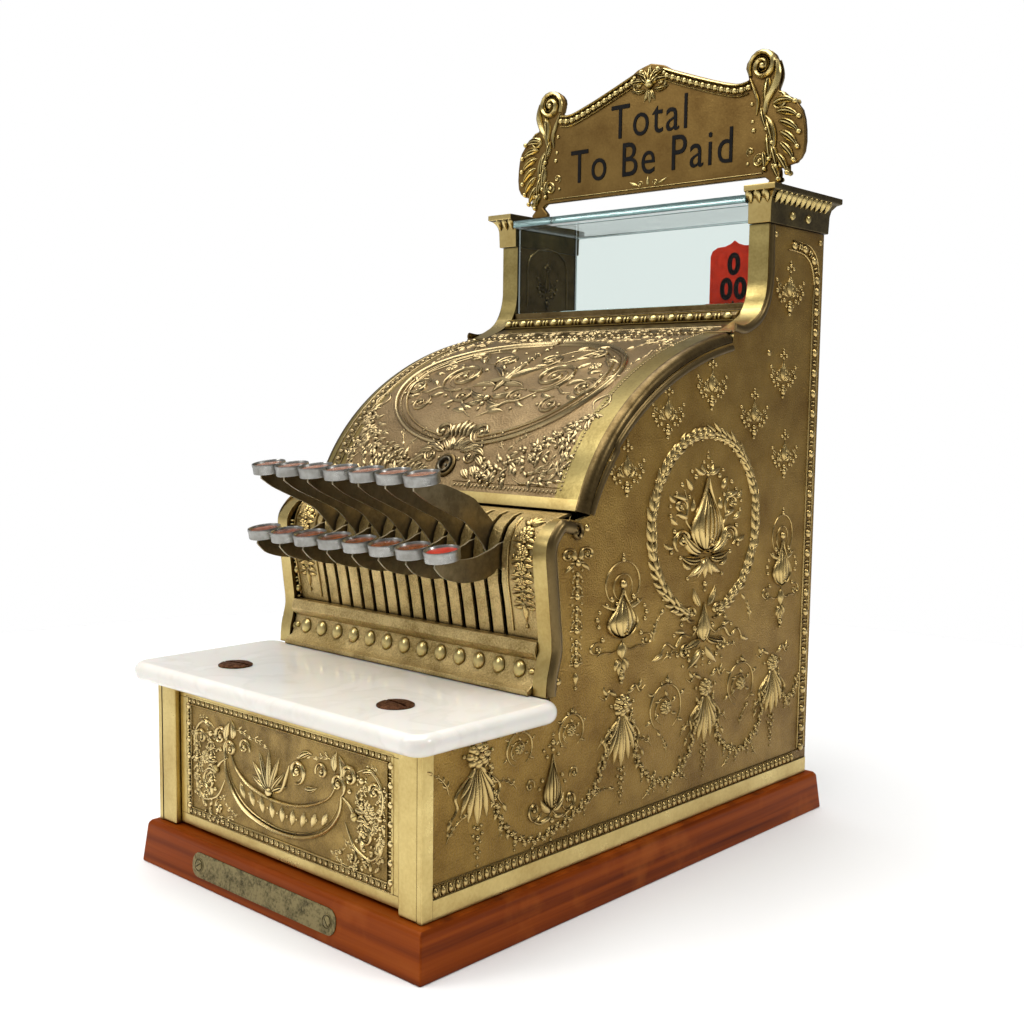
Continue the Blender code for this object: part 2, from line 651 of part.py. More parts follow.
def lock_place():
    """Middle of the lock on the lid's surface, and the surface's outward direction."""
    y = -0.0578
    z = lid_height(y)
    across = (y - LID_CENTRE[0]) / LID_RADII[0] ** 2
    upward = (z - LID_CENTRE[1]) / LID_RADII[1] ** 2
    return Vector((0.0, y, z)), Vector((0.0, across, upward)).normalized()


# ------------------------------------------------------------------ window, capitals and sign
def make_window(finishes):
    bm = bmesh.new()
    wide = WINDOW_HALF_WIDTH - GAP
    seam_y = SEAM_Y + HINGE_ROD_RADIUS + GAP
    outline = [(seam_y, 0.3400), (seam_y, lid_height(SEAM_Y)), (0.0960, 0.3475), (0.1075, 0.3515),
               (0.1100, 0.3528), (0.1090, 0.3560), (0.1120, 0.3590), (0.1165, 0.3592), (0.1195, 0.3605),
               (0.1195, WINDOW_SILL_TOP), (0.1290, WINDOW_SILL_TOP), (0.1290, 0.3480), (0.1060, 0.3460)]
    prism(bm, outline, "X", -wide, wide)
    add_piece("window_sill", bm, finishes["brass"])

    floor, ceiling = WINDOW_SILL_TOP + GAP, TOP_GLASS_BOTTOM - GAP
    for name, y in (("front_glass", WINDOW_FRONT + 0.0010), ("rear_glass", CASE_BACK - 0.0030)):
        bm = bmesh.new()
        box(bm, (-wide, y, floor), (wide, y + GLASS, ceiling))
        add_piece(name, bm, finishes["glass"])
    bm = bmesh.new()
    box(bm, (-wide, TOP_GLASS_FRONT, TOP_GLASS_BOTTOM), (wide, CASE_BACK, TOP_GLASS_TOP))
    add_piece("top_glass", bm, finishes["glass"])

    steps = [(0.0022, TOWER_TOP + GAP), (0.0026, 0.4285), (0.0034, 0.4325), (0.0060, 0.4360),
             (CAPITAL_OVERHANG, 0.4372), (CAPITAL_OVERHANG, CAPITAL_TOP)]
    for name, side in (("capital_left", -1), ("capital_right", 1)):
        rings = []
        for spread, z in steps:
            inner, outer = side * WINDOW_HALF_WIDTH, side * (CASE_HALF_WIDTH + spread)
            front, back = WINDOW_FRONT - spread, CASE_BACK + spread
            rings.append([(inner, front, z), (outer, front, z), (outer, back, z), (inner, back, z)])
        bm = bmesh.new()
        skin(bm, rings)
        add_piece(name, bm, finishes["bright"])


def make_sign(finishes):
    """Top sign: straight foot edge, foliage ends, volutes, an ogee top edge and a crest."""
    half = smooth_through([
        (0.1120, 0.4575), (0.1233, 0.4591), (0.1295, 0.4660), (0.1300, 0.4800), (0.1270, 0.4935),
        (0.1190, 0.5015), (0.1085, 0.5090), (0.1086, 0.5230), (0.1050, 0.5320), (0.0957, 0.5364),
        (0.0850, 0.5330), (0.0819, 0.5265), (0.0846, 0.5190), (0.0740, 0.5180), (0.0540, 0.5240),
        (0.0330, 0.5315), (0.0180, 0.5370), (0.0120, 0.5405), (0.0000, 0.5435),
    ])
    foot = [(0.0, SIGN_BOTTOM), (SIGN_FOOT_X - 0.0070, SIGN_BOTTOM), (SIGN_FOOT_X - 0.0032, 0.4490),
            (SIGN_FOOT_X - 0.0080, 0.4440), (SIGN_FOOT_X - 0.0080, CAPITAL_TOP + GAP),
            (SIGN_FOOT_X + 0.0080, CAPITAL_TOP + GAP), (SIGN_FOOT_X + 0.0080, 0.4440),
            (SIGN_FOOT_X + 0.0032, 0.4490), (SIGN_FOOT_X + 0.0040, 0.4550)]
    bm = bmesh.new()
    prism(bm, mirrored(foot + half), "Y", SIGN_Y - SIGN_THICKNESS / 2, SIGN_Y + SIGN_THICKNESS / 2)
    add_piece("marquee_sign", bm, finishes["brass"])


# ------------------------------------------------------------------ drawer
def make_drawer(finishes):
    bm = bmesh.new()
    back = DRAWER_FACE_Y + DRAWER_FACE_THICKNESS
    box(bm, (-DRAWER_HALF_WIDTH, DRAWER_FACE_Y, DRAWER_BOTTOM), (DRAWER_HALF_WIDTH, back, DRAWER_FACE_TOP))
    face = add_piece("drawer_front", bm, finishes["brass"])
    edge = face.modifiers.new("edge", "BEVEL")
    edge.width = 0.0006
    edge.segments = 1

    bm = bmesh.new()
    front = back + GAP
    box(bm, (-TILL_HALF_WIDTH, front, DRAWER_BOTTOM), (TILL_HALF_WIDTH, TILL_BACK, TILL_TOP))
    till = add_piece("drawer_box", bm, finishes["wood"])
    bays = bmesh.new()
    floor, top = DRAWER_BOTTOM + 0.006, TILL_TOP + WALL
    rows = ((COIN_CUPS, front + TILL_WALL, front + TILL_WALL + COIN_CUP_DEPTH),
            (NOTE_BAYS, front + 2 * TILL_WALL + COIN_CUP_DEPTH, TILL_BACK - TILL_WALL))
    for count, near, far in rows:
        width = (2 * TILL_HALF_WIDTH - (count + 1) * TILL_WALL) / count
        for index in range(count):
            left = -TILL_HALF_WIDTH + TILL_WALL + index * (width + TILL_WALL)
            box(bays, (left, near, floor), (left + width, far, top))
    combine(till, bays, "DIFFERENCE")
    notch = bmesh.new()
    box(notch, (-0.008, TILL_BACK - 2 * TILL_WALL, TILL_TOP - 0.0075), (0.008, TILL_BACK + WALL, top))
    combine(till, notch, "DIFFERENCE")


# ------------------------------------------------------------------ mechanism
def make_mechanism(finishes):
    bm = bmesh.new()
    deck_bottom = DECK_TOP - DECK_THICKNESS
    cheek_inner, cheek_outer = 0.1035, 0.1065
    bar_y, bar_z, bar_thickness = (0.0, 0.032), 0.2620, 0.003
    box(bm, (-INNER_HALF_WIDTH, -0.1785, deck_bottom), (INNER_HALF_WIDTH, 0.1885, DECK_TOP))
    frame = add_piece("inner_frame", bm, finishes["steel"])
    cheek = [(-0.066, DECK_TOP - 0.001), (-0.066, 0.1950), (-0.034, 0.2000), (bar_y[0], bar_z),
             (bar_y[1], bar_z), (bar_y[1], DECK_TOP - 0.001)]
    for side in (-1, 1):
        bm = bmesh.new()
        prism(bm, cheek, "X", side * cheek_inner, side * cheek_outer)
        combine(frame, bm, "UNION")
    bm = bmesh.new()
    box(bm, (-cheek_outer, bar_y[0], bar_z - bar_thickness), (cheek_outer, bar_y[1], bar_z))
    combine(frame, bm, "UNION")
    bm = bmesh.new()
    prism(bm, circle_points((PIVOT_Y, PIVOT_Z), SHAFT_RADIUS + GAP, 16), "X", -CASE_HALF_WIDTH, CASE_HALF_WIDTH)
    combine(frame, bm, "DIFFERENCE")

    bell_foot = (0.0, sum(bar_y) / 2, bar_z + GAP)
    post, bell_radius, bell_wall, bell_height = 0.0022, 0.026, 0.0015, 0.021
    outer = [(bell_radius * math.cos(math.radians(a)), 0.003 + 0.018 * math.sin(math.radians(a)))
             for a in range(0, 91, 15)]
    inner = [(r * (1 - bell_wall / bell_radius), z - bell_wall) for r, z in outer[:-2]]
    inner[0] = (bell_radius - bell_wall, 0.003)
    top_inside = inner[-1][1] + 0.0008
    bm = bmesh.new()
    turned(bm, [(0.0, 0.0), (post, 0.0), (post, top_inside)] + list(reversed(inner)) + outer[:-1]
           + [(0.0, bell_height)], bell_foot, 16)
    add_piece("bell", bm, finishes["bright"], smooth_angle=40)

    pivot = (0.050, bell_foot[1], bar_z + 0.0036)
    bm = bmesh.new()
    prism(bm, circle_points((pivot[0], pivot[2]), 0.003, 12), "Y", pivot[1] - 0.003, pivot[1] + 0.003)
    hammer = add_piece("bell_hammer", bm, finishes["steel"], origin=pivot)
    bm = bmesh.new()
    box(bm, (0.0300, pivot[1] - 0.001, pivot[2] - 0.001), (pivot[0], pivot[1] + 0.001, pivot[2] + 0.001))
    combine(hammer, bm, "UNION")
    bm = bmesh.new()
    bmesh.ops.create_icosphere(bm, subdivisions=2, radius=0.0030,
                               matrix=Matrix.Translation((0.0306, pivot[1], pivot[2])))
    combine(hammer, bm, "UNION")

    latch_y, latch_z, latch_width = 0.100, 0.1010, 0.006
    bm = bmesh.new()
    prism(bm, circle_points((latch_y, latch_z), 0.003, 12), "X", -latch_width / 2, latch_width / 2)
    latch = add_piece("drawer_latch", bm, finishes["steel"], origin=(0.0, latch_y, latch_z))
    arm = [(latch_y, 0.1000), (latch_y, 0.1036), (0.0860, 0.1065), (0.0640, 0.1065), (0.0640, 0.0990),
           (0.0668, 0.0990), (0.0685, 0.1045), (0.0850, 0.1042)]
    bm = bmesh.new()
    prism(bm, arm, "X", -latch_width / 2 + 0.0005, latch_width / 2 - 0.0005)
    combine(latch, bm, "UNION")


# ------------------------------------------------------------------ assembly
def group(name, names, location):
    """Parent pieces to an empty that stands on their joint's axis, leaving them in place."""
    empty = bpy.data.objects.new(name, None)
    empty.location = location
    bpy.context.scene.collection.objects.link(empty)
    for piece_name in names:
        piece = bpy.data.objects[piece_name]
        piece.parent = empty
        piece.matrix_parent_inverse = Matrix.Translation(location).inverted()


def main():
    clear_scene()
    finishes = make_finishes()
    make_base(finishes)
    make_side("side_plate_left", -1, finishes)
    make_side("side_plate_right", 1, finishes)
    make_back(finishes)
    make_columns(finishes)
    make_shelf(finishes)
    make_moulding(finishes)
    make_key_plate(finishes)
    make_keys(finishes)
    make_flags(finishes)
    make_lid(finishes)
    make_window(finishes)
    make_sign(finishes)
    make_drawer(finishes)
    make_mechanism(finishes)
    group("drawer_slide", ["drawer_front", "drawer_box"], (0.0, DRAWER_FACE_Y, DRAWER_BOTTOM))


main()
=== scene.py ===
"""Antique brass cash register: the detailed visual model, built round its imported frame.

Front faces -Y, +X is the right-hand side and +Z is up. Lengths are metres, and ornament is drawn
in millimetres on flat sheets that are then laid on the castings.
"""
import math
import random

import bpy
import numpy as np
from bpy.props import FloatProperty, FloatVectorProperty, PointerProperty, StringProperty
from mathutils import Matrix, Vector


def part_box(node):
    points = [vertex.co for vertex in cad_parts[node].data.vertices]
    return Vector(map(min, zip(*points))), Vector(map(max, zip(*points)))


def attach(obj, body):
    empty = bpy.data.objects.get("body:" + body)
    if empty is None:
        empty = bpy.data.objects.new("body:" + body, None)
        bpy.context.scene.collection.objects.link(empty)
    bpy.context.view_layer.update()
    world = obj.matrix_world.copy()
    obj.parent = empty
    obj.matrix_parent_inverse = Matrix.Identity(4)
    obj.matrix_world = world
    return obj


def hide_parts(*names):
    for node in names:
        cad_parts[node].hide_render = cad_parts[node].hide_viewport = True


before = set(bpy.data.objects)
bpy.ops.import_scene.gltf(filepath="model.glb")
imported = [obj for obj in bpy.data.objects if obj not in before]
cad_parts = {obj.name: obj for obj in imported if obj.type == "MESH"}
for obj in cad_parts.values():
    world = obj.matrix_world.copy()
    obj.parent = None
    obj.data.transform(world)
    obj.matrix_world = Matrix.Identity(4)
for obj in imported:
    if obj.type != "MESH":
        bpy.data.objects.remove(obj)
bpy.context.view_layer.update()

bl_info = {
    "name": "Antique Brass Cash Register",
    "version": (1, 0, 0),
    "blender": (4, 5, 0),
    "location": "3D View > Sidebar > Cash Register",
    "description": "Builds the castings, ornament, keys, glass and finishes of an old shop cash register",
    "category": "Add Mesh",
}

MM = 0.001

# ------------------------------------------------------------------ places read from the frame
BASE_LOW, BASE_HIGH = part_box("wood_base")
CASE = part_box("side_plate_right")[1].x                 # outer face of the side castings
CASE_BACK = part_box("back_plate")[1].y
SHELF_LOW, SHELF_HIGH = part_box("marble_shelf")
DRAWER_LOW, DRAWER_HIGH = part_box("drawer_front")
SIGN_LOW, SIGN_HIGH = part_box("marquee_sign")
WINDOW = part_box("front_glass")[1].x + 0.0003           # inner faces of the window posts

# ------------------------------------------------------------------ shapes shared by several pieces
LID_CENTRE = (0.1368, 0.203)      # ellipse that the lid follows (y, z)
LID_RADII = (0.2086, 0.1448)
LID_FOOT_Y, LID_HEAD_Y = -0.067, 0.0808
LID_ROLL, LID_LIP, LID_WALL = 0.006, 0.0065, 0.0025
LID_BAND = 0.1008                 # where the lid's plain side bands start

FLAG_FACE = 0.0455                # height of a flag's painted face
LETTER_PROUD = 0.0001             # how far filled letters stand out
UPRIGHT = Matrix.Rotation(math.pi / 2, 4, "X")
RIM_INSIDE = 0.1109               # inner faces of the side castings' curved rims

KEY_COUNT = 15
KEY_PITCH = 0.0115
PIVOT = (-0.050, 0.185)           # key shaft (y, z)
BLADE = 0.0014
CAP_RADIUS, CAP_HEIGHT, CAP_TILT = 0.0105, 0.0065, math.radians(10)
LOWER_CAP, UPPER_CAP = (-0.1389, 0.2114), (-0.1436, 0.2530)
BLADE_TAIL = [(-0.0150, 0.1930), (0.0300, 0.1915), (0.1630, 0.1900), (0.1630, 0.1840),
              (0.0300, 0.1820), (-0.0200, 0.1800), (-0.0500, 0.1780)]
LOWER_TOP = [(-0.1440, 0.2080), (-0.1330, 0.2082), (-0.1240, 0.2076), (-0.1147, 0.2078), (-0.1060, 0.2100),
             (-0.0985, 0.2123), (-0.0923, 0.2147), (-0.0780, 0.2140), (-0.0500, 0.1960)]
LOWER_UNDER = [(-0.0720, 0.1880), (-0.0924, 0.1995), (-0.0982, 0.1971), (-0.1064, 0.1948), (-0.1158, 0.1940),
               (-0.1237, 0.1943), (-0.1316, 0.1960), (-0.1393, 0.1990), (-0.1450, 0.2045)]
UPPER_TOP = [(-0.1500, 0.2490), (-0.1400, 0.2500), (-0.1286, 0.2494), (-0.1169, 0.2457), (-0.1034, 0.2404),
             (-0.0979, 0.2358), (-0.0894, 0.2281), (-0.0740, 0.2150), (-0.0500, 0.1960)]
UPPER_UNDER = [(-0.0720, 0.1900), (-0.0860, 0.2000), (-0.0933, 0.2099), (-0.0962, 0.2140), (-0.1031, 0.2212),
               (-0.1113, 0.2275), (-0.1285, 0.2350), (-0.1413, 0.2407), (-0.1500, 0.2462)]
RIM = [(-0.0968, 0.1308), (-0.0960, 0.1419), (-0.0924, 0.1564), (-0.0940, 0.1735), (-0.0975, 0.2018),
       (-0.0984, 0.2112), (-0.0970, 0.2184), (-0.0900, 0.2262), (-0.0800, 0.2300), (-0.0720, 0.2290)]


# ------------------------------------------------------------------ colours and finishes
def hex_colour(code, alpha=1.0):
    """An sRGB hex colour as linear red, green, blue and alpha."""
    channels = [int(code[place:place + 2], 16) / 255 for place in (1, 3, 5)]
    linear = [c / 12.92 if c <= 0.04045 else ((c + 0.055) / 1.055) ** 2.4 for c in channels]
    return (*linear, alpha)


def add_node(tree, kind, inputs=None, stops=None, **settings):
    """Adds a shader node; an input given as a socket is linked, and anything else is its value."""
    node = tree.nodes.new(f"ShaderNode{kind}")
    for name, value in settings.items():
        setattr(node, name, value)
    if stops:
        elements = node.color_ramp.elements
        while len(elements) < len(stops):
            elements.new(0.5)
        for element, (place, colour) in zip(elements, stops):
            element.position, element.color = place, colour
    return fill(node, inputs or {})


def fill(node, inputs):
    """Links or sets a node's inputs."""
    for key, value in inputs.items():
        if isinstance(value, bpy.types.NodeSocket):
            node.id_data.links.new(value, node.inputs[key])
        else:
            node.inputs[key].default_value = value
    return node


def new_finish(name):
    """A new material, its node tree, its shader and the object's coordinates."""
    material = bpy.data.materials.new(name)
    material.use_nodes = True
    tree = material.node_tree
    return material, tree, tree.nodes["Principled BSDF"], add_node(tree, "TexCoord").outputs["Object"]


def noise(tree, place, mm, detail, **inputs):
    """Noise whose patches are about `mm` across."""
    return add_node(tree, "TexNoise", {"Vector": place, "Scale": 1 / (mm * MM), "Detail": detail, **inputs})


def ramp(tree, factor, *stops):
    """A colour ramp over (place, colour) stops; a colour is a hex code or a grey level."""
    stops = [(at, grey(colour) if isinstance(colour, float) else hex_colour(colour)) for at, colour in stops]
    return add_node(tree, "ValToRGB", {"Fac": factor}, stops).outputs["Color"]


def blend(tree, factor, first, second):
    """A mix of two colours."""
    return add_node(tree, "Mix", {"Factor": factor, 6: first, 7: second}, data_type="RGBA").outputs[2]


def bumps(tree, height, depth, strength=1.0):
    return add_node(tree, "Bump", {"Height": height, "Distance": depth, "Strength": strength}).outputs[0]


def grey(level):
    return (level, level, level, 1.0)


def sheet_brass(name, rubbed, patina, patina_and_shade_colour, gloss=0.30, grain_mm=0.7, grain_depth=0.00006, cloud_mm=28,
                patina_and_shade_reach=0.0022, mottle=0.5, low_shade=0.0):
    """Cast or rolled brass. Raised and open areas are rubbed bright; hollows found by an occlusion mask keep a dark
    patina that is partly painted shade, and the lower part can be darkened with painted shade.
    """
    material, tree, shader, place = new_finish(name)
    clouds = noise(tree, place, cloud_mm, 8.0, Roughness=0.58)
    grain = noise(tree, place, grain_mm, 2.0, Roughness=0.6).outputs["Fac"]
    spots = add_node(tree, "Math", {0: grain, 1: mottle}, operation="MULTIPLY")
    cover = add_node(tree, "Math", {0: clouds.outputs["Fac"], 1: spots.outputs[0]}, operation="ADD").outputs[0]
    middle = 0.5 + mottle * 0.5
    worn = ramp(tree, cover, (middle - 0.26, patina), (middle + 0.24, rubbed))
    rise = add_node(tree, "Attribute", attribute_name="rise").outputs["Fac"]
    lifted = blend(tree, rise, worn, hex_colour(rubbed))
    # painted shade: below z 0.20 the colour turns towards the patina and shade colour, most at z 0.03
    if low_shade:
        height = add_node(tree, "SeparateXYZ", {0: place}).outputs["Z"]
        low = add_node(tree, "MapRange", {"Value": height, "From Min": 0.03, "From Max": 0.20, "To Min": low_shade,
                                          "To Max": 0.0})
        lifted = blend(tree, low.outputs[0], lifted, hex_colour(patina_and_shade_colour))
    # occlusion mask: dark patina in the hollows, partly painted shade where parts and relief crowd together
    hollow = add_node(tree, "AmbientOcclusion", {"Distance": patina_and_shade_reach}, samples=6, only_local=False).outputs["AO"]
    open_area = ramp(tree, hollow, (0.35, 0.0), (0.92, 1.0))
    rough = add_node(tree, "MapRange", {"Value": cover, "From Min": middle - 0.3, "From Max": middle + 0.3,
                                        "To Min": gloss + 0.12, "To Max": gloss})
    fill(shader, {"Base Color": blend(tree, open_area, hex_colour(patina_and_shade_colour), lifted), "Metallic": 1.0,
                  "Roughness": rough.outputs[0], "Normal": bumps(tree, grain, grain_depth)})
    return material


def varnished_mahogany():
    """Old varnished mahogany: red-brown grain under a gloss coat, rubbed paler in scattered patches."""
    material, tree, shader, place = new_finish("varnished_mahogany")
    facing = add_node(tree, "NewGeometry").outputs["Normal"]
    parts = add_node(tree, "SeparateXYZ", {0: facing})
    sideways = add_node(tree, "Math", {0: parts.outputs["X"]}, operation="ABSOLUTE")
    is_side = add_node(tree, "Math", {0: sideways.outputs[0], 1: 0.5}, operation="GREATER_THAN")
    along_x = add_node(tree, "Mapping", {"Vector": place, "Scale": (3.0, 60.0, 160.0)})
    along_y = add_node(tree, "Mapping", {"Vector": place, "Scale": (60.0, 3.0, 160.0)})
    run = add_node(tree, "Mix", {"Factor": is_side.outputs[0], 4: along_x.outputs[0], 5: along_y.outputs[0]},
                   data_type="VECTOR")
    figure = noise(tree, run.outputs[1], 1000, 8.0, Roughness=0.6, Distortion=0.15).outputs["Fac"]
    tone = ramp(tree, figure, (0.30, "#552004"), (0.52, "#823807"), (0.74, "#954810"))
    blotch = noise(tree, place, 40, 5.0).outputs["Fac"]
    wear = ramp(tree, blotch, (0.56, 0.0), (0.72, 0.45))
    rough = add_node(tree, "MapRange", {"Value": blotch, "To Min": 0.26, "To Max": 0.50})
    fill(shader, {"Base Color": blend(tree, wear, tone, hex_colour("#A85A22")), "Roughness": rough.outputs[0],
                  "Normal": bumps(tree, figure, 0.00012, 0.5), "Specular IOR Level": 0.07})
    return material


def plain_till_wood():
    """Oiled softwood of the till, with a straight pale grain along its length."""
    material, tree, shader, place = new_finish("oiled_till_wood")
    run = add_node(tree, "Mapping", {"Vector": place, "Scale": (130.0, 8.0, 130.0)})
    figure = noise(tree, run.outputs[0], 1000, 7.0, Distortion=0.4).outputs["Fac"]
    tone = ramp(tree, figure, (0.32, "#6B4526"), (0.55, "#9A6C3F"), (0.75, "#B98A57"))
    fill(shader, {"Base Color": tone, "Roughness": 0.55, "Normal": bumps(tree, figure, 0.0001, 0.5)})
    return material


def polished_marble():
    """Honed white marble: warm white with faint grey veins and a soft glow under its polish."""
    material, tree, shader, place = new_finish("polished_marble")
    warp = noise(tree, place, 60, 5.0, Distortion=1.5)
    veins = ramp(tree, warp.outputs["Fac"], (0.44, "#E8E4DB"), (0.50, "#E4E0D7"), (0.56, "#EBE7DF"))
    stain = noise(tree, place, 22, 6.0)
    tint = ramp(tree, stain.outputs["Fac"], (0.60, 0.0), (0.78, 0.35))
    fill(shader, {"Base Color": blend(tree, tint, veins, hex_colour("#D3C8B0")), "Roughness": 0.16,
                  "Subsurface Weight": 0.15, "Subsurface Scale": 0.004, "Coat Weight": 0.3})
    return material


def worn_metal(name, bright, dull, gloss, patch_mm=6.0, scratch=0.00002):
    """Plain worked metal with duller patches and fine rubbing marks."""
    material, tree, shader, place = new_finish(name)
    patches = noise(tree, place, patch_mm, 7.0, Roughness=0.7).outputs["Fac"]
    rough = add_node(tree, "MapRange", {"Value": patches, "From Min": 0.35, "From Max": 0.65,
                                        "To Min": gloss + 0.2, "To Max": gloss})
    marks = noise(tree, place, 0.8, 4.0).outputs["Fac"]
    fill(shader, {"Base Color": ramp(tree, patches, (0.38, dull), (0.62, bright)), "Metallic": 1.0,
                  "Roughness": rough.outputs[0], "Normal": bumps(tree, marks, scratch)})
    return material


def printed_face(name, base, stain, gloss=0.35, shine=0.5):
    """Enamel or paper: an even colour with faint staining and tiny chips."""
    material, tree, shader, place = new_finish(name)
    blots = noise(tree, place, 5, 6.0, Roughness=0.7).outputs["Fac"]
    fill(shader, {"Base Color": ramp(tree, blots, (0.40, base), (0.66, stain)), "Roughness": gloss,
                  "Normal": bumps(tree, blots, 0.00003, 0.6), "Specular IOR Level": shine})
    return material


def clear_glass(name, tint, gloss=0.02, bending=1.5):
    """Old sheet glass, faintly wavy; tint is its colour, deep at a cut edge."""
    material, tree, shader, place = new_finish(name)
    waves = noise(tree, place, 45, 1.0).outputs["Fac"]
    fill(shader, {"Base Color": hex_colour(tint), "Roughness": gloss, "Transmission Weight": 1.0, "IOR": bending,
                  "Normal": bumps(tree, waves, 0.0003, 0.25)})
    return material


def make_finishes():
    """Every finish of the register, by name."""
    return {
        # weathered sand-cast side panels: olive-brown pebbled ground with golden high points; the panels and their
        # relief are darkened towards the bottom with painted shade
        "panel": sheet_brass("weathered_cast_brass", "#BA974F", "#80602B", "#1C1208", 0.30, 1.1, 0.00050, patina_and_shade_reach=0.0045,
                             low_shade=0.42),
        "panel_relief": sheet_brass("rubbed_brass_relief", "#D6BA7A", "#8E7139", "#241808", 0.20, 1.6, 0.00010,
                                    mottle=0.25, low_shade=0.30),
        # the lid keeps a pinkish copper tarnish
        "lid": sheet_brass("tarnished_lid_brass", "#A28A63", "#705B3E", "#22160D", 0.32, 1.3, 0.00035, patina_and_shade_reach=0.004),
        "lid_relief": sheet_brass("rubbed_lid_relief", "#BBA67A", "#86704B", "#2B1D11", 0.22, 1.6, 0.00010,
                                  mottle=0.25),
        "lid_band": sheet_brass("tarnished_band_brass", "#B7A468", "#776638", "#241A0B", 0.26, 1.8, 0.00008, 30,
                                mottle=0.35),
        # a darker copy of the capitals' brass for their faces that point sideways, back or down: painted shade
        "dark_cap": sheet_brass("capital_brass_painted_shade", "#75663F", "#3B3220", "#130D05", 0.28, 1.6, 0.00008, 14),
        # plain bands, posts and rims that hands have kept bright
        "band": sheet_brass("handled_bright_brass", "#D2BD7E", "#A98F54", "#4A3614", 0.24, 2.2, 0.00004, 40,
                            mottle=0.3),
        # a darker copy of the brass: painted shade and painted dark reflection on the rims' side ridges, the lid's
        # rolled sides and the castings' inner faces; the sill, lock rose, hinge rod and window-post panels take it
        # too
        "edge": sheet_brass("dark_edge_brass_and_painted_shade", "#7A6743", "#46371D", "#150E06", 0.28, 1.6, 0.00008, 14),
        "drawer": sheet_brass("stippled_drawer_brass", "#A88C50", "#5F4A26", "#1A1108", 0.30, 0.9, 0.00050, 14,
                              mottle=0.6, patina_and_shade_reach=0.003),
        "drawer_relief": sheet_brass("rubbed_drawer_relief", "#E6CF94", "#A88C52", "#2A1D0B", 0.20, 1.6, 0.00010,
                                     mottle=0.25),
        "stipple": sheet_brass("stippled_plate_brass", "#CBB27A", "#86703F", "#241808", 0.32, 1.1, 0.00055, 20,
                               mottle=0.7),
        "sign": sheet_brass("satin_sign_brass", "#8C703E", "#5C4422", "#1D1206", 0.28, 1.6, 0.00006, 32,
                            mottle=0.25),
        "badge": sheet_brass("corroded_badge_brass", "#8B7E58", "#46412C", "#1B170B", 0.45, 1.6, 0.00030, 7,
                             mottle=0.8),
        "bell": worn_metal("spun_bell_brass", "#E2CC88", "#B89A55", 0.16),
        "nickel": worn_metal("worn_nickel_ring", "#A3A29D", "#8B8983", 0.24, 9.0, 0.000006),
        "blade": worn_metal("brassy_lever_steel", "#8E8062", "#6A5E45", 0.32, 14.0),
        "blade_edge": worn_metal("rubbed_lever_edge", "#B5AC94", "#857B64", 0.30, 5.0),
        "steel": worn_metal("oiled_frame_steel", "#77736B", "#4A4641", 0.38, 12.0),
        "rust": worn_metal("rusted_iron_screw", "#6F4B33", "#3D2417", 0.55, 2.5, 0.00012),
        "lock": worn_metal("dark_lock_steel", "#8C8470", "#4A4334", 0.30, 3.0),
        "ink": printed_face("black_filled_enamel", "#080706", "#15120F", 0.5, 0.12),
        "wood": varnished_mahogany(),
        "till": plain_till_wood(),
        "marble": polished_marble(),
        "glass": clear_glass("old_sheet_glass", "#EEF4F2", 0.02, 1.12),
        "glass_edge": clear_glass("green_glass_edge", "#A6D0CC", 0.12),
        "red": printed_face("red_flag_enamel", "#E43A20", "#C02C16", 0.5, 0.1),
        "cream": printed_face("cream_flag_enamel", "#E4D9BC", "#CBB98F"),
        "paper": printed_face("stained_key_paper", "#96491C", "#4E2812", 0.25),
        "pale_paper": printed_face("faded_key_paper", "#A06C50", "#6A3C28", 0.25),
        "red_paper": printed_face("red_key_paper", "#C9301C", "#A02214", 0.3),
    }


FINISHES = {}


# ------------------------------------------------------------------ modelling helpers
def choose(*objects):
    """Selects just these objects, the first one active."""
    bpy.ops.object.select_all(action="DESELECT")
    for item in objects:
        item.select_set(True)
    bpy.context.view_layer.objects.active = objects[0]


def placed(axis, a, b, along):
    """A point from two coordinates in the plane square to `axis` and one along it."""
    return {"X": Vector((along, a, b)), "Y": Vector((a, along, b)), "Z": Vector((a, b, along))}[axis]


def add_modifier(piece, kind, **settings):
    modifier = piece.modifiers.new(kind.lower(), kind)
    for name, value in settings.items():
        setattr(modifier, name, value)
    return modifier


def apply_all(piece):
    choose(piece)
    for modifier in list(piece.modifiers):
        bpy.ops.object.modifier_apply(modifier=modifier.name)
    bpy.ops.object.transform_apply(location=True, rotation=True, scale=True)


def outward(piece):
    """Joins the piece's loose corners and turns its faces outwards."""
    choose(piece)
    bpy.ops.object.mode_set(mode="EDIT")
    bpy.ops.mesh.select_all(action="SELECT")
    bpy.ops.mesh.remove_doubles(threshold=1e-6)
    bpy.ops.mesh.normals_make_consistent(inside=False)
    bpy.ops.object.mode_set(mode="OBJECT")


def eased(piece, width, segments=2, angle=32):
    """Rounds the piece's sharp edges."""
    add_modifier(piece, "BEVEL", width=width, segments=segments, limit_method="ANGLE",
                 angle_limit=math.radians(angle), use_clamp_overlap=True)
    apply_all(piece)
    return piece


def dress(piece, *names):
    """Gives the piece its finishes, in slot order."""
    for name in names:
        piece.data.materials.append(FINISHES[name])
    return piece


def paint_where(piece, slot, test):
    """Puts the faces whose centre and normal pass `test` in a material slot."""
    for face in piece.data.polygons:
        if test(face.center, face.normal):
            face.material_index = slot


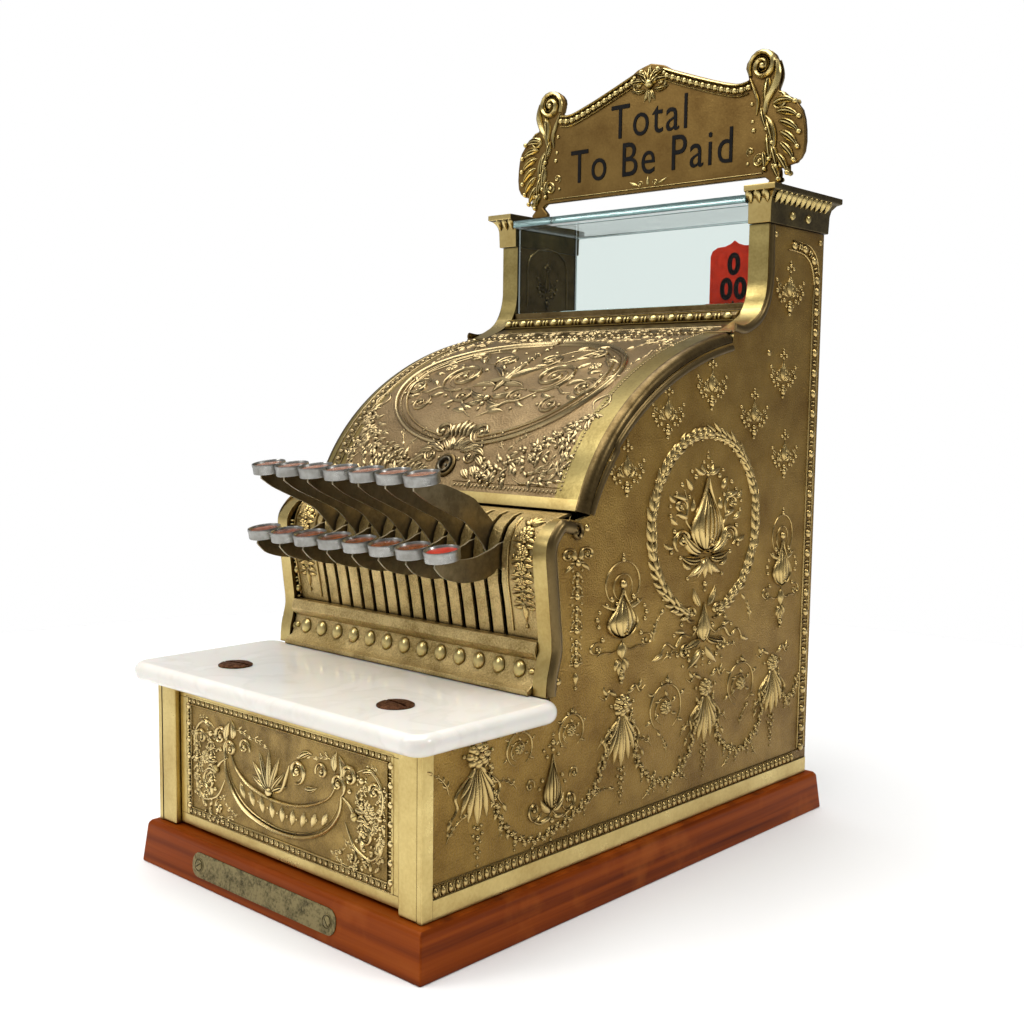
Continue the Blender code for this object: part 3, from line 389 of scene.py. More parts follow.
def plate(outline, axis, low, high, ease=0.0004, segments=2):
    """A flat outline raised into an eased plate, standing square to `axis` from low to high."""
    bpy.ops.mesh.primitive_circle_add(vertices=len(outline), fill_type="NGON")
    piece = bpy.context.object
    for corner, (a, b) in zip(piece.data.vertices, outline):
        corner.co = placed(axis, a, b, low)
    bpy.ops.object.mode_set(mode="EDIT")
    bpy.ops.mesh.select_all(action="SELECT")
    bpy.ops.mesh.extrude_region_move(TRANSFORM_OT_translate={"value": placed(axis, 0, 0, high - low)})
    bpy.ops.object.mode_set(mode="OBJECT")
    outward(piece)
    return eased(piece, ease, segments) if ease else piece


def block(low, high, ease=0.0004, segments=2):
    """An eased rectangular bar between two corners."""
    corners = [(low[0], low[1]), (high[0], low[1]), (high[0], high[1]), (low[0], high[1])]
    return plate(corners, "Z", low[2], high[2], ease, segments)


def turned(section, matrix, segments=32):
    """A closed (r, z) section turned about its own z axis and then placed by a matrix."""
    bpy.ops.mesh.primitive_circle_add(vertices=len(section), fill_type="NOTHING")
    piece = bpy.context.object
    for corner, (r, z) in zip(piece.data.vertices, section):
        corner.co = (r, 0, z)
    bpy.ops.object.mode_set(mode="EDIT")
    bpy.ops.mesh.select_all(action="SELECT")
    bpy.ops.mesh.spin(steps=segments, angle=2 * math.pi, center=(0, 0, 0), axis=(0, 0, 1))
    bpy.ops.object.mode_set(mode="OBJECT")
    outward(piece)
    piece.data.transform(matrix)
    return piece


def joined(pieces, name):
    choose(*pieces)
    if len(pieces) > 1:
        bpy.ops.object.join()
    whole = bpy.context.object
    whole.name = whole.data.name = name
    return whole


def carried(node, ease=0.0005, segments=2, angle=30):
    """A copy of a CAD piece with its loose triangles joined and its edges eased."""
    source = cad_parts[node]
    piece = bpy.data.objects.new(f"{node}_fine", source.data.copy())
    bpy.context.scene.collection.objects.link(piece)
    piece.data.materials.clear()
    choose(piece)
    bpy.ops.object.mode_set(mode="EDIT")
    bpy.ops.mesh.select_all(action="SELECT")
    bpy.ops.mesh.remove_doubles(threshold=1e-5)
    bpy.ops.mesh.dissolve_limited(angle_limit=math.radians(1.0))
    bpy.ops.object.mode_set(mode="OBJECT")
    return eased(piece, ease, segments, angle) if ease else piece


def settle(piece, name, body, slot, *nodes, smooth=35, even=True):
    """Ends a piece: its name, shading, and what it rides on and stands for."""
    piece.name = piece.data.name = name
    choose(piece)
    bpy.ops.object.transform_apply(location=True, rotation=True, scale=True)
    bpy.ops.object.shade_smooth_by_angle(angle=math.radians(smooth))
    if even:
        add_modifier(piece, "WEIGHTED_NORMAL", keep_sharp=True)
        apply_all(piece)
    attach(piece, body)
    if nodes:
        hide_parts(*nodes)
    return piece


def smooth_path(points, steps=4):
    """A Catmull-Rom curve through given points."""
    ends = [points[0], *points, points[-1]]
    path = []
    for before, start, end, after in zip(ends, ends[1:], ends[2:], ends[3:]):
        for step in range(steps):
            t = step / steps
            weights = (-0.5 * t + t * t - 0.5 * t ** 3, 1 - 2.5 * t * t + 1.5 * t ** 3,
                       0.5 * t + 2 * t * t - 1.5 * t ** 3, -0.5 * t * t + 0.5 * t ** 3)
            knots = (before, start, end, after)
            path.append(tuple(sum(w * k[axis] for w, k in zip(weights, knots)) for axis in (0, 1)))
    return path + [points[-1]]


def ellipse(u, v, half_u, half_v, count, start=0.0, end=360.0):
    """Points round an ellipse, or round part of it, angles from +u towards +v."""
    whole = abs(end - start) >= 360
    steps = count if whole else count - 1
    angles = [math.radians(start + (end - start) * step / steps) for step in range(count)]
    return [(u + half_u * math.cos(a), v + half_v * math.sin(a)) for a in angles]


def spaced(path, gap):
    """Places at even steps along a path: (u, v, direction in degrees)."""
    places, run = [], 0.0
    for (u0, v0), (u1, v1) in zip(path, path[1:]):
        length = math.hypot(u1 - u0, v1 - v0)
        turn = math.degrees(math.atan2(v1 - v0, u1 - u0))
        while run < length:
            places.append((u0 + (u1 - u0) * run / length, v0 + (v1 - v0) * run / length, turn))
            run += gap
        run -= length
    return places


# ------------------------------------------------------------------ ornament, drawn flat
SINK = -0.15                      # how far the feet of raised ornament go into the casting, in millimetres


class Ornament:
    """Raised ornament drawn flat in millimetres, u across and v up, before it is laid on a casting.

    Its details are repeated thousands of times, so they are put into one mesh by number.
    """

    def __init__(self, local=None, store=None):
        self.local = local or Matrix.Identity(3)
        self.store = store or {"points": [], "faces": []}

    def at(self, u, v, size=1.0, turn=0.0, flip=False, wide=1.0):
        """The same sheet drawn on from another place, size and direction."""
        step = Matrix.Translation((u, v, 0)) @ Matrix.Rotation(math.radians(turn), 4, "Z")
        step = step @ Matrix.Diagonal((-size * wide if flip else size * wide, size, 1, 1))
        flat = Matrix([[step[0][0], step[0][1], step[0][3]], [step[1][0], step[1][1], step[1][3]], [0, 0, 1]])
        return Ornament(self.local @ flat, self.store)

    def halves(self, u=0.0, v=0.0):
        """The drawing and its mirror image about v."""
        return self.at(u, v), self.at(u, v, flip=True)

    def put(self, points, faces):
        """Adds a mesh given as (u, v, rise) points and faces."""
        m = self.local
        spread = m[0][0] * m[1][1] - m[0][1] * m[1][0]
        size, start = math.sqrt(abs(spread)), len(self.store["points"])
        for u, v, rise in points:
            self.store["points"].append((m[0][0] * u + m[0][1] * v + m[0][2],
                                         m[1][0] * u + m[1][1] * v + m[1][2], rise * size))
        for face in faces:
            ring = [start + corner for corner in face]
            self.store["faces"].append(ring if spread > 0 else ring[::-1])

    def bead(self, u, v, radius, rise=None, stretch=1.0, turn=0.0, sides=8):
        """A round-topped boss; `stretch` draws it out along `turn`."""
        rise = radius * 0.85 if rise is None else rise
        m = self.local
        size = math.sqrt(abs(m[0][0] * m[1][1] - m[0][1] * m[1][0]))
        along = Vector((m[0][0] * math.cos(math.radians(turn)) + m[0][1] * math.sin(math.radians(turn)),
                        m[1][0] * math.cos(math.radians(turn)) + m[1][1] * math.sin(math.radians(turn))))
        c, s = along.normalized()
        u, v = m[0][0] * u + m[0][1] * v + m[0][2], m[1][0] * u + m[1][1] * v + m[1][2]
        radius, rise, points = radius * size, rise * size, []
        for share, height in ((1.0, SINK), (0.97, 0.28 * rise), (0.68, 0.78 * rise)):
            for step in range(sides):
                a = 2 * math.pi * step / sides
                x, y = radius * share * stretch * math.cos(a), radius * share * math.sin(a)
                points.append((u + c * x - s * y, v + s * x + c * y, height))
        points.append((u, v, rise))
        faces = [list(range(sides))[::-1]]
        for ring in (0, sides):
            faces += [(ring + i, ring + (i + 1) % sides, ring + sides + (i + 1) % sides, ring + sides + i)
                      for i in range(sides)]
        faces += [(2 * sides + i, 2 * sides + (i + 1) % sides, 3 * sides) for i in range(sides)]
        Ornament(store=self.store).put(points, faces)

    def beads(self, *rows, sides=8):
        """Bosses given as (u, v, radius)."""
        for u, v, radius in rows:
            self.bead(u, v, radius, sides=sides)

    def petal(self, u, v, turn, length, width, rise=None, belly=0.4, bend=0.0, ribs=1, rows=5, columns=4,
              hollow=0.0, lift=0.0):
        """A leaf or bud from its root at (u, v): round at the root, drawn to a tip, curling by `bend`."""
        rise = width * 0.38 if rise is None else rise
        columns = max(columns, 3 * ribs if ribs > 1 else 4)
        power = math.log(0.5) / math.log(belly)
        heading, x, y = math.radians(turn), u, v
        points, faces, step_length = [], [], length / rows
        for row in range(rows + 1):
            s = row / rows
            half = width / 2 * max(math.sin(math.pi * s ** power), 0.0) ** (1 + hollow * s) + 0.02
            for column in range(columns + 1):
                t = -1 + 2 * column / columns
                deep = 0.7 if ribs > 4 else 0.5
                wave = 1 - deep * (1 - abs(math.cos(math.pi * ribs * t / 2))) if ribs > 1 else 1.0
                tall = SINK if abs(t) > 0.99 else rise * wave * math.sqrt(1 - t * t) * (half / width * 2) ** 0.7
                points.append((x - math.sin(heading) * half * t, y + math.cos(heading) * half * t, tall + lift))
            heading += math.radians(bend) / rows
            x += math.cos(heading) * step_length
            y += math.sin(heading) * step_length
        wide = columns + 1
        for row in range(rows):
            for column in range(columns):
                a = row * wide + column
                faces.append((a, a + wide, a + wide + 1, a + 1))
            near, far = row * wide, (row + 1) * wide
            faces.append((near, near + columns, far + columns, far))
        faces.append(tuple(range(wide)))
        faces.append(tuple(rows * wide + column for column in range(wide))[::-1])
        self.put(points, faces)

    def line(self, path, width, rise=None, thin=0.35, closed=False):
        """A raised cord along a path, thinning to `thin` of its width at open ends."""
        rise = width * 0.6 if rise is None else rise
        count = len(path)
        points, faces = [], []
        for index, (u, v) in enumerate(path):
            before = path[index - 1] if closed or index else path[0]
            after = path[(index + 1) % count] if closed or index < count - 1 else path[-1]
            run = math.atan2(after[1] - before[1], after[0] - before[0])
            ends = min(index, count - 1 - index) / max(count - 1, 1) * 2
            share = 1.0 if closed else thin + (1 - thin) * min(ends * 1.6, 1.0)
            for side, height in ((-1, SINK), (-0.72, 0.66), (0, 1.0), (0.72, 0.66), (1, SINK)):
                across = side * width / 2 * share
                tall = SINK if height == SINK else height * rise * share
                points.append((u - math.sin(run) * across, v + math.cos(run) * across, tall))
        for index in range(count if closed else count - 1):
            a, b = index * 5, (index + 1) % count * 5
            faces += [(a + k, b + k, b + k + 1, a + k + 1) for k in range(4)]
            faces.append((a + 4, b + 4, b, a))
        if not closed:
            last = (count - 1) * 5
            faces += [(0, 1, 2, 3, 4), (last + 4, last + 3, last + 2, last + 1, last)]
        self.put(points, faces)

    def stroke(self, points, width, rise=None, thin=0.35):
        """A raised cord through given points."""
        self.line(smooth_path(points), width, rise, thin)

    def curl(self, u, v, radius, turn, sweep, width, eye=True, rise=None):
        """A spiral that starts `radius` from its eye at angle `turn` and winds in by `sweep` degrees."""
        count = max(int(abs(sweep) / 24), 6)
        path = []
        for step in range(count + 1):
            s = step / count
            a = math.radians(turn + sweep * s)
            r = radius * (1 - 0.78 * s)
            path.append((u + r * math.cos(a), v + r * math.sin(a)))
        self.line(path, width, rise, thin=0.6)
        if eye:
            self.bead(u, v, width * 0.85)

    def volute(self, u, v, radius, turn, sweep, width):
        """A spiral of two cords, a thick one with a thin one inside it."""
        self.curl(u, v, radius, turn, sweep, width, rise=width * 0.75)
        self.curl(u, v, radius * 0.72, turn + sweep * 0.05, sweep * 0.62, width * 0.45, eye=False)

    def bouquet(self, path, spread, gap, leaf, berries=0.5):
        """Leaves and berries strewn along a path, thickest in its middle, as on a fruit garland."""
        places = spaced(path, gap)
        for index, (u, v, turn) in enumerate(places):
            full = spread * (0.35 + 0.65 * math.sin(math.pi * (index + 0.5) / len(places)))
            across = random.uniform(-full, full) * 0.5
            a = math.radians(turn + 90)
            x, y = u + math.cos(a) * across, v + math.sin(a) * across
            side = math.copysign(1, across)
            spin = turn + side * random.uniform(15, 85) + random.choice((0, 180))
            self.petal(x, y, spin, leaf * random.uniform(0.7, 1.25), leaf * random.uniform(0.34, 0.5),
                       bend=random.uniform(-50, 50), rise=leaf * random.uniform(0.13, 0.22), rows=4)
            if random.random() < berries:
                self.bead(x + random.uniform(-1, 1) * leaf * 0.4, y + random.uniform(-1, 1) * leaf * 0.4,
                          leaf * random.uniform(0.13, 0.20), leaf * 0.26, sides=6)

    # -------------------------------------------------------------- motifs
    def fleur(self):
        """Small hanging flower, 34 mm tall: a slim beaded bud between two clusters of curled tips."""
        self.beads((0, 17.2, 0.8), (0, 14.8, 1.2), (0, 11.4, 0.9), (0, -8.0, 1.5), (0, -11.6, 1.9), (0, -15.0, 1.1))
        self.petal(0, -4.5, 90, 15.0, 4.6, ribs=3, belly=0.38, hollow=0.9, rows=6, columns=6)
        for v in (-1.6, 0.6, 2.8):
            self.bead(0, v, 0.6, 2.3, sides=6)
        for half in self.halves():
            half.bead(2.3, 13.0, 1.15)
            half.stroke([(2.0, 4.5), (3.6, 2.4), (3.2, -1.2), (1.0, -4.6)], 0.8)
            half.petal(1.2, -4.4, 8, 6.6, 2.0, bend=70, rows=4)
            half.curl(7.6, 2.4, 2.6, -150, 300, 0.9)
            half.beads((9.9, -1.2, 1.3), (8.0, -4.4, 1.35), (4.4, -6.6, 1.2), (10.3, 5.3, 1.1), (2.6, -10.0, 0.9),
                       (5.6, -2.6, 1.1), (5.0, 0.9, 0.9), (6.6, -7.4, 0.9))

    def rosette(self, radius):
        """Open flower of two rows of petals round a boss."""
        for step in range(8):
            self.petal(0, 0, 45 * step, radius, radius * 0.72, belly=0.62, ribs=1)
        for step in range(6):
            self.petal(0, 0, 60 * step + 15, radius * 0.62, radius * 0.5, belly=0.6, lift=radius * 0.14)
        self.bead(0, 0, radius * 0.24, radius * 0.55)

    def spray(self, length, turn, bend=50, pairs=3):
        """A leafy shoot: pairs of small leaves along a bending stem, ending in a bud."""
        heading, u, v = turn, 0.0, 0.0
        path = [(u, v)]
        for pair in range(pairs):
            heading += bend / pairs
            u += math.cos(math.radians(heading)) * length / pairs
            v += math.sin(math.radians(heading)) * length / pairs
            path.append((u, v))
            size = length / pairs * (0.95 - 0.18 * pair)
            self.petal(u, v, heading + 52, size, size * 0.42, bend=-35, rows=4)
            self.petal(u, v, heading - 52, size, size * 0.42, bend=35, rows=4)
        self.stroke(path, length * 0.055)
        self.petal(u, v, heading, length * 0.34, length * 0.16)

    def tassel(self, length):
        """Gathered drapery: folds that fan out under a knot, loose ribbons beside them and a beaded drop."""
        for half in self.halves():
            for turn, share, width in ((-86, 1.0, 0.105), (-75, 0.94, 0.105), (-63, 0.82, 0.10), (-52, 0.58, 0.09)):
                half.petal(0.6, -0.5, turn, length * share, length * width, belly=0.62, rise=length * 0.055, rows=6,
                           bend=-8)
            half.stroke([(1, -1), (0.26 * length, -0.22 * length), (0.44 * length, -0.44 * length),
                         (0.40 * length, -0.64 * length), (0.54 * length, -0.84 * length)], 1.5, 1.1)
            half.petal(0.52 * length, -0.78 * length, -70, length * 0.20, 2.4, rows=4)
            half.petal(1.0, 0, -36, length * 0.30, 3.0, bend=-50, rows=5)
            for u, v, radius in ((0.07, 1.04, 1.0), (0.09, 1.18, 1.1), (0.055, 1.32, 0.9), (0.05, 1.50, 0.8),
                                 (0.30, 0.62, 0.8), (0.34, 0.78, 0.7)):
                half.bead(u * length, -v * length, radius, sides=6)
        for v, radius in ((1.08, 1.3), (1.24, 1.5), (1.42, 1.2), (1.58, 1.0), (1.72, 0.8)):
            self.bead(0, -v * length, radius, sides=6)

    def flower_loop(self, radius):
        """A round stem that winds in on itself about an open flower, with leaves outside."""
        self.line(ellipse(0, 0, radius * 0.9, radius, 26, -60, 250), 1.2)
        self.curl(0, 0, radius * 0.72, 250, -330, 0.9, eye=False)
        self.rosette(radius * 0.34)
        for angle in (-40, 20, 80, 140, 200):
            a = math.radians(angle)
            self.petal(radius * 0.42 * math.cos(a), radius * 0.46 * math.sin(a), angle + 30, radius * 0.36,
                       radius * 0.16, rows=4)
            self.petal(radius * 0.92 * math.cos(a), radius * 1.02 * math.sin(a), angle + 50, radius * 0.40,
                       radius * 0.17, bend=-50, rows=4)
        for u, v in ((0, 1.18), (-0.26, 1.06), (0.26, 1.06)):
            self.bead(u * radius, v * radius, 1.1, sides=6)

    def ribbed_bud(self, width, height, ribs=5):
        """Onion-shaped bud with ribs, a beaded middle and a raised outline."""
        self.petal(0, 0, 90, height, width, belly=0.37, hollow=1.3, ribs=ribs, rise=width * 0.22, rows=12,
                   columns=12)
        outline = [(0.0, 0), (0.34, 0.10), (0.52, 0.27), (0.46, 0.44), (0.23, 0.66), (0.08, 0.86), (0.0, 1.02)]
        for half in self.halves():
            half.stroke([(u * width, v * height) for u, v in outline], width * 0.07, width * 0.1, thin=0.8)
        for step in range(8):
            self.bead(0, height * (0.12 + 0.075 * step), width * 0.05, width * (0.27 - 0.016 * step), sides=6)

    def pendant(self):
        """Large hanging bud under a looped stem, 84 mm tall, with volutes and a lily below."""
        self.line(ellipse(0, 33, 9.4, 13.5, 26, -100, 280), 0.9)
        self.line(ellipse(0, 31, 5.2, 8.0, 18, -40, 290), 0.8)
        self.bead(0, 33, 2.2)
        for v, radius in ((47.5, 1.3), (50.4, 0.9), (27.4, 1.2)):
            self.bead(0, v, radius)
        self.ribbed_bud(15, 29)
        self.petal(0, -13, 90, 12, 5, belly=0.5, ribs=3)
        for half in self.halves():
            for u, v, radius in ((3.2, 21.6, 1.2), (6.0, 24.4, 1.5), (8.6, 21.4, 1.2), (12.4, 18.0, 1.1),
                                 (13.6, 13.8, 1.3), (12.8, 9.6, 1.2), (10.6, 1.4, 1.3), (3.2, -16.5, 1.1)):
                half.bead(u, v, radius)
            half.petal(1, 17.5, 8, 12, 3.2, bend=30)
            half.curl(13.6, -3.6, 4.4, 130, -420, 1.1)
            half.stroke([(1.5, -6), (5.5, -7.5), (9.6, -6.4), (13.6, -8)], 1.1)
            half.petal(1.2, -12, -50, 8, 2.6, bend=-40)
            half.petal(0.6, -13, -72, 10, 2.4, bend=-25)
        self.beads((0, -20, 1.5), (0, -23.2, 1.9), (0, -26.4, 1.1))

    def chain(self, drop, gap=6.5):
        """Buds, berries and small leaves hung in a line."""
        for step in range(int(drop / gap)):
            v = -gap * step
            self.bead(0, v, 1.5 if step % 3 else 2.1)
            if step % 3:
                self.petal(0, v - 1, -90, gap * 0.8, 2.2, rows=4)
            for half in self.halves(0, v):
                half.petal(1, 0, -30 if step % 3 else 20, 4.2, 1.7, bend=-40, rows=4)
                half.bead(3.4, 2.2, 0.85)
        self.petal(0, -gap * int(drop / gap) + 2, -90, 8, 3.2)
        self.bead(0, -gap * int(drop / gap) - 7.6, 1.1)

    def swag(self, start, low, end, size=2.2):
        """A festoon of buds and berries that hangs between two places."""
        middle = [(start[0] * 0.72 + low[0] * 0.28, start[1] * 0.30 + low[1] * 0.70),
                  (end[0] * 0.72 + low[0] * 0.28, end[1] * 0.30 + low[1] * 0.70)]
        path = smooth_path([start, middle[0], low, middle[1], end], 8)
        self.line(path, 0.7)
        for index, (u, v, turn) in enumerate(spaced(path, size * 1.2)):
            spin = 40 if index % 2 else -40
            self.petal(u, v, turn + spin, size * 1.7, size * 0.8, rows=4)
            self.petal(u, v, turn + spin + 180, size * 1.5, size * 0.75, rows=4)
            self.bead(u, v, size * 0.42, size * 0.6, sides=6)
            if index % 4 == 2:
                self.bead(u, v - size * 1.3, size * 0.36, sides=6)
                self.bead(u, v - size * 2.2, size * 0.26, sides=6)

    def medallion(self, radius):
        """Laurel wreath tied with a bow, round a tall ribbed bud on curled leaves."""
        for half in self.halves():
            arc = ellipse(0, 0, radius, radius, 60, -74, 88)
            half.line(arc, 1.6, 0.8, thin=0.7)
            for index, (u, v, turn) in enumerate(spaced(arc, 6.2)):
                for spin in (38, -34, 6):
                    half.petal(u, v, turn + spin + random.uniform(-9, 9), random.uniform(8.5, 12.0), 3.9,
                               bend=-spin * 0.6, rise=1.9, lift=0.3 if spin == 6 else 0.0)
                side = -90 if index % 2 else 90
                half.bead(u + math.cos(math.radians(turn + side)) * 3.8,
                          v + math.sin(math.radians(turn + side)) * 3.8, 1.2, sides=6)
            # bow, its tails and the nosegay under it
            knot = half.at(0, -radius, wide=1.3)
            knot.volute(11, 3, 6.0, -120, 430, 2.0)
            knot.stroke([(3, -4), (10, -12), (18, -10), (24, -17), (31, -13), (36, -20)], 1.8)
            knot.volute(15, -21, 5.4, 120, -430, 1.7)
            knot.petal(3, 6, 40, 15, 5, bend=40, ribs=3)
            knot.petal(2, -14, -38, 18, 6, bend=36, ribs=3)
            knot.petal(2, -20, -66, 17, 5, bend=26, ribs=1)
            knot.petal(34, -18, -50, 10, 3.6, bend=40)
            knot.petal(16, -9, 40, 9, 3.4, bend=-50)
            knot.beads((8, -7, 1.7), (12, -27, 1.5), (6, -32, 1.3), (22, -22, 1.5), (19, -3, 1.4), (25, -9, 1.3),
                       (9, -17, 1.5), (28, -22, 1.1), (17, -30, 1.1))
            # leaves and curls about the bud
            base = half.at(0, -18, wide=1.4)
            base.volute(18.5, 10.0, 7.6, -60, 430, 2.2)
            base.volute(20.5, 31.0, 5.2, 200, -400, 1.7)
            base.petal(3, 0, 12, 22, 8.0, bend=58, ribs=3, rise=2.6, rows=8)
            base.petal(3, -3, -26, 18, 6.6, bend=66, ribs=3, rise=2.4, rows=8)
            base.petal(2, -5, -66, 15, 5.4, bend=48, ribs=1, rise=2.0, rows=7)
            base.stroke([(4, 5), (12, 16), (16, 22), (15, 32), (18, 42)], 1.4)
            for u, v, turn, length, bend in ((15, 22, 60, 11, -60), (16, 34, 50, 12, -50), (13, 40, 100, 10, -60),
                                             (22, 20, 10, 9, 60), (25, 6, -20, 9, 70), (12, 27, 120, 9, -40),
                                             (24, 34, 10, 8, 60), (11, -9, 0, 9, 60)):
                base.petal(u, v, turn, length, length * 0.40, bend=bend)
            base.beads((25, 16, 1.5), (28, 26, 1.3), (20, 45, 1.5), (24, 40, 1.2), (9, -12, 1.4), (14, -15, 1.3),
                       (28.5, 32, 1.2), (27, 3, 1.4), (5.5, 52, 1.4), (9.5, 49.5, 1.7), (12.5, 53, 1.2),
                       (3.2, 58.5, 1.1), (20, -1, 1.4), (14, 37, 1.3))
            base.petal(1.5, 50.5, 5, 10, 4.2, bend=40)
            base.petal(1.5, 50.5, 45, 8, 3.2, bend=30)
        crown = self.at(0, -18, wide=1.35)
        crown.ribbed_bud(24, 47, 7)
        for turn in (-90, -66, -114):
            crown.petal(0, -2, turn, 15, 5.0, ribs=1, rise=1.8)
        crown.line([(-6, 0.5), (0, 2.2), (6, 0.5)], 2.4, 2.2, thin=0.8)
        crown.beads((0, -20, 1.8), (0, -24, 1.2), (0, 51, 1.7), (0, 55.6, 1.3), (0, 61.6, 1.3), (0, 65, 0.9))
        self.bead(0, radius, 3.0)
        self.at(0, -radius - 17, wide=1.3).ribbed_bud(11, 25, 3)
        for v, size in ((-42, 1.9), (-46, 1.4), (-50, 1.0)):
            self.bead(0, v - radius + 18, size)

    def bead_and_reel(self, path, size):
        """A row of round beads, each pair parted by two thin reels."""
        for index, (u, v, turn) in enumerate(spaced(path, size * 1.55)):
            if index % 2 == 0:
                self.bead(u, v, size * 0.62, stretch=1.15, turn=turn)
            else:
                for shift in (-0.28, 0.28):
                    c, s = math.cos(math.radians(turn)), math.sin(math.radians(turn))
                    self.bead(u + c * size * shift, v + s * size * shift, size * 0.55, size * 0.42,
                              stretch=0.3, turn=turn, sides=6)

    def egg_and_dart(self, path, tall, gap):
        """A row of upright eggs in shells, with a dart between each two."""
        for index, (u, v, turn) in enumerate(spaced(path, gap / 2)):
            one = self.at(u, v, turn=turn)
            if index % 2 == 0:
                one.bead(0, 0, tall * 0.40, tall * 0.34, stretch=0.55)
                for side in (-1, 1):
                    one.line([(side * gap * 0.30, tall * 0.45), (side * gap * 0.30, -tall * 0.1),
                              (side * gap * 0.16, -tall * 0.48)], tall * 0.11, thin=0.8)
            else:
                one.petal(0, tall * 0.42, -90, tall * 0.86, tall * 0.2, rows=3)


def laid(ornament, name, place, body, slot, *finishes, tallest=2.2):
    """Lays flat ornament on a casting with `place` (u, v, rise in metres to x, y, z) and ends the piece."""
    flat = np.array(ornament.store["points"]) * MM
    flat[:, 2] *= settings().relief_height
    mesh = bpy.data.meshes.new(name)
    world = place(flat[:, 0], flat[:, 1], flat[:, 2])
    probe = place(*(np.array(axis) for axis in ([0.0, 1e-4, 0.0], [0.02, 0.02, 0.0201], [0.0, 0.0, 0.0])))
    up = place(np.array([0.0]), np.array([0.02]), np.array([1e-4]))[0] - probe[0]
    turned_over = np.dot(np.cross(probe[1] - probe[0], probe[2] - probe[0]), up) < 0
    faces = ornament.store["faces"]
    mesh.from_pydata(world.tolist(), [], [face[::-1] for face in faces] if turned_over else faces)
    rise = mesh.attributes.new("rise", "FLOAT", "POINT")
    rise.data.foreach_set("value", np.clip(flat[:, 2] / (tallest * MM), 0, 1) ** 0.8)
    piece = bpy.data.objects.new(name, mesh)
    bpy.context.scene.collection.objects.link(piece)
    dress(piece, *finishes)
    return settle(piece, name, body, slot, smooth=60, even=False)


def on_flat(origin, across, up, out):
    """A place function for a flat face."""
    axes = [np.array(item, dtype=float) for item in (origin, across, up, out)]

    def place(u, v, rise):
        return axes[0] + np.outer(u, axes[1]) + np.outer(v, axes[2]) + np.outer(rise, axes[3])

    return place


def along_profile(curve):
    """A place function for a sheet bent along a (y, z) line: u is x, and v runs along the line."""
    line = np.array(curve)
    step = np.diff(line, axis=0)
    run = np.concatenate([[0.0], np.cumsum(np.hypot(step[:, 0], step[:, 1]))])
    tangent = np.gradient(line, run, axis=0)
    outwards = np.stack([-tangent[:, 1], tangent[:, 0]], axis=1)
    outwards /= np.hypot(outwards[:, 0], outwards[:, 1])[:, None]

    def place(u, v, rise):
        y, z = (np.interp(v, run, line[:, axis]) + np.interp(v, run, outwards[:, axis]) * rise for axis in (0, 1))
        return np.stack([u, y, z], axis=1)

    return place


def lid_curve(count):
    """The lid's outer profile (y, z) from its foot to its head."""
    start, end = (math.acos((y - LID_CENTRE[0]) / LID_RADII[0]) for y in (LID_FOOT_Y, LID_HEAD_Y))
    angles = [start + (end - start) * step / count for step in range(count + 1)]
    return [(LID_CENTRE[0] + LID_RADII[0] * math.cos(a), LID_CENTRE[1] + LID_RADII[1] * math.sin(a))
            for a in angles]


ON_LID = along_profile(lid_curve(400))
LID_LENGTH = 0.1921
ON_RIGHT = on_flat((CASE, 0, 0), (0, 1, 0), (0, 0, 1), (1, 0, 0))
ON_LEFT = on_flat((-CASE, 0, 0), (0, 1, 0), (0, 0, 1), (-1, 0, 0))
ON_BACK = on_flat((0, CASE_BACK, 0), (-1, 0, 0), (0, 0, 1), (0, 1, 0))


def recoat(node, finish):
    """Gives a CAD piece that keeps its shape its real finish."""
    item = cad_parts[node]
    if not item.material_slots:
        item.data.materials.append(FINISHES[finish])
    for holder in item.material_slots:
        holder.material = FINISHES[finish]


def screw_head(radius, height, matrix, slot_turn=20.0, segments=28):
    """A domed slotted screw head, made at the origin and then placed."""
    section = [(0, -0.0002), (radius, -0.0002), (radius, height * 0.35), (radius * 0.86, height * 0.78),
               (radius * 0.5, height * 0.97), (0, height)]
    head = turned(section, Matrix.Identity(4), segments)
    cutter = block((-radius * 1.2, -radius * 0.09, height * 0.42), (radius * 1.2, radius * 0.09, height * 2), 0)
    cutter.data.transform(Matrix.Rotation(math.radians(slot_turn), 4, "Z"))
    add_modifier(head, "BOOLEAN", operation="DIFFERENCE", solver="EXACT", object=cutter)
    apply_all(head)
    bpy.data.objects.remove(cutter, do_unlink=True)
    head.data.transform(matrix)
    return head


def facing(place, direction):
    """A matrix that stands a part made along +z on a place, pointing in a direction."""
    lean = Vector((0, 0, 1)).rotation_difference(Vector(direction)).to_matrix().to_4x4()
    return Matrix.Translation(place) @ lean


def key_x(index):
    return (index - (KEY_COUNT - 1) / 2) * KEY_PITCH


def lettering(words, size, depth, matrix, squeeze=0.86, spacing=1.12, thin=0.0):
    """Words as a raised mesh, centred on the origin and then placed by a matrix."""
    bpy.ops.object.select_all(action="DESELECT")
    bpy.ops.object.text_add()
    text = bpy.context.object
    text.data.body, text.data.size, text.data.extrude = words, size, depth
    text.data.align_x, text.data.align_y = "CENTER", "CENTER"
    text.data.space_character, text.data.resolution_u = spacing, 4
    text.data.offset = -size * thin
    bpy.ops.object.convert(target="MESH")
    piece = bpy.context.object
    piece.data.transform(matrix @ Matrix.Diagonal((squeeze, 1, 1, 1)))
    outward(piece)
    return piece


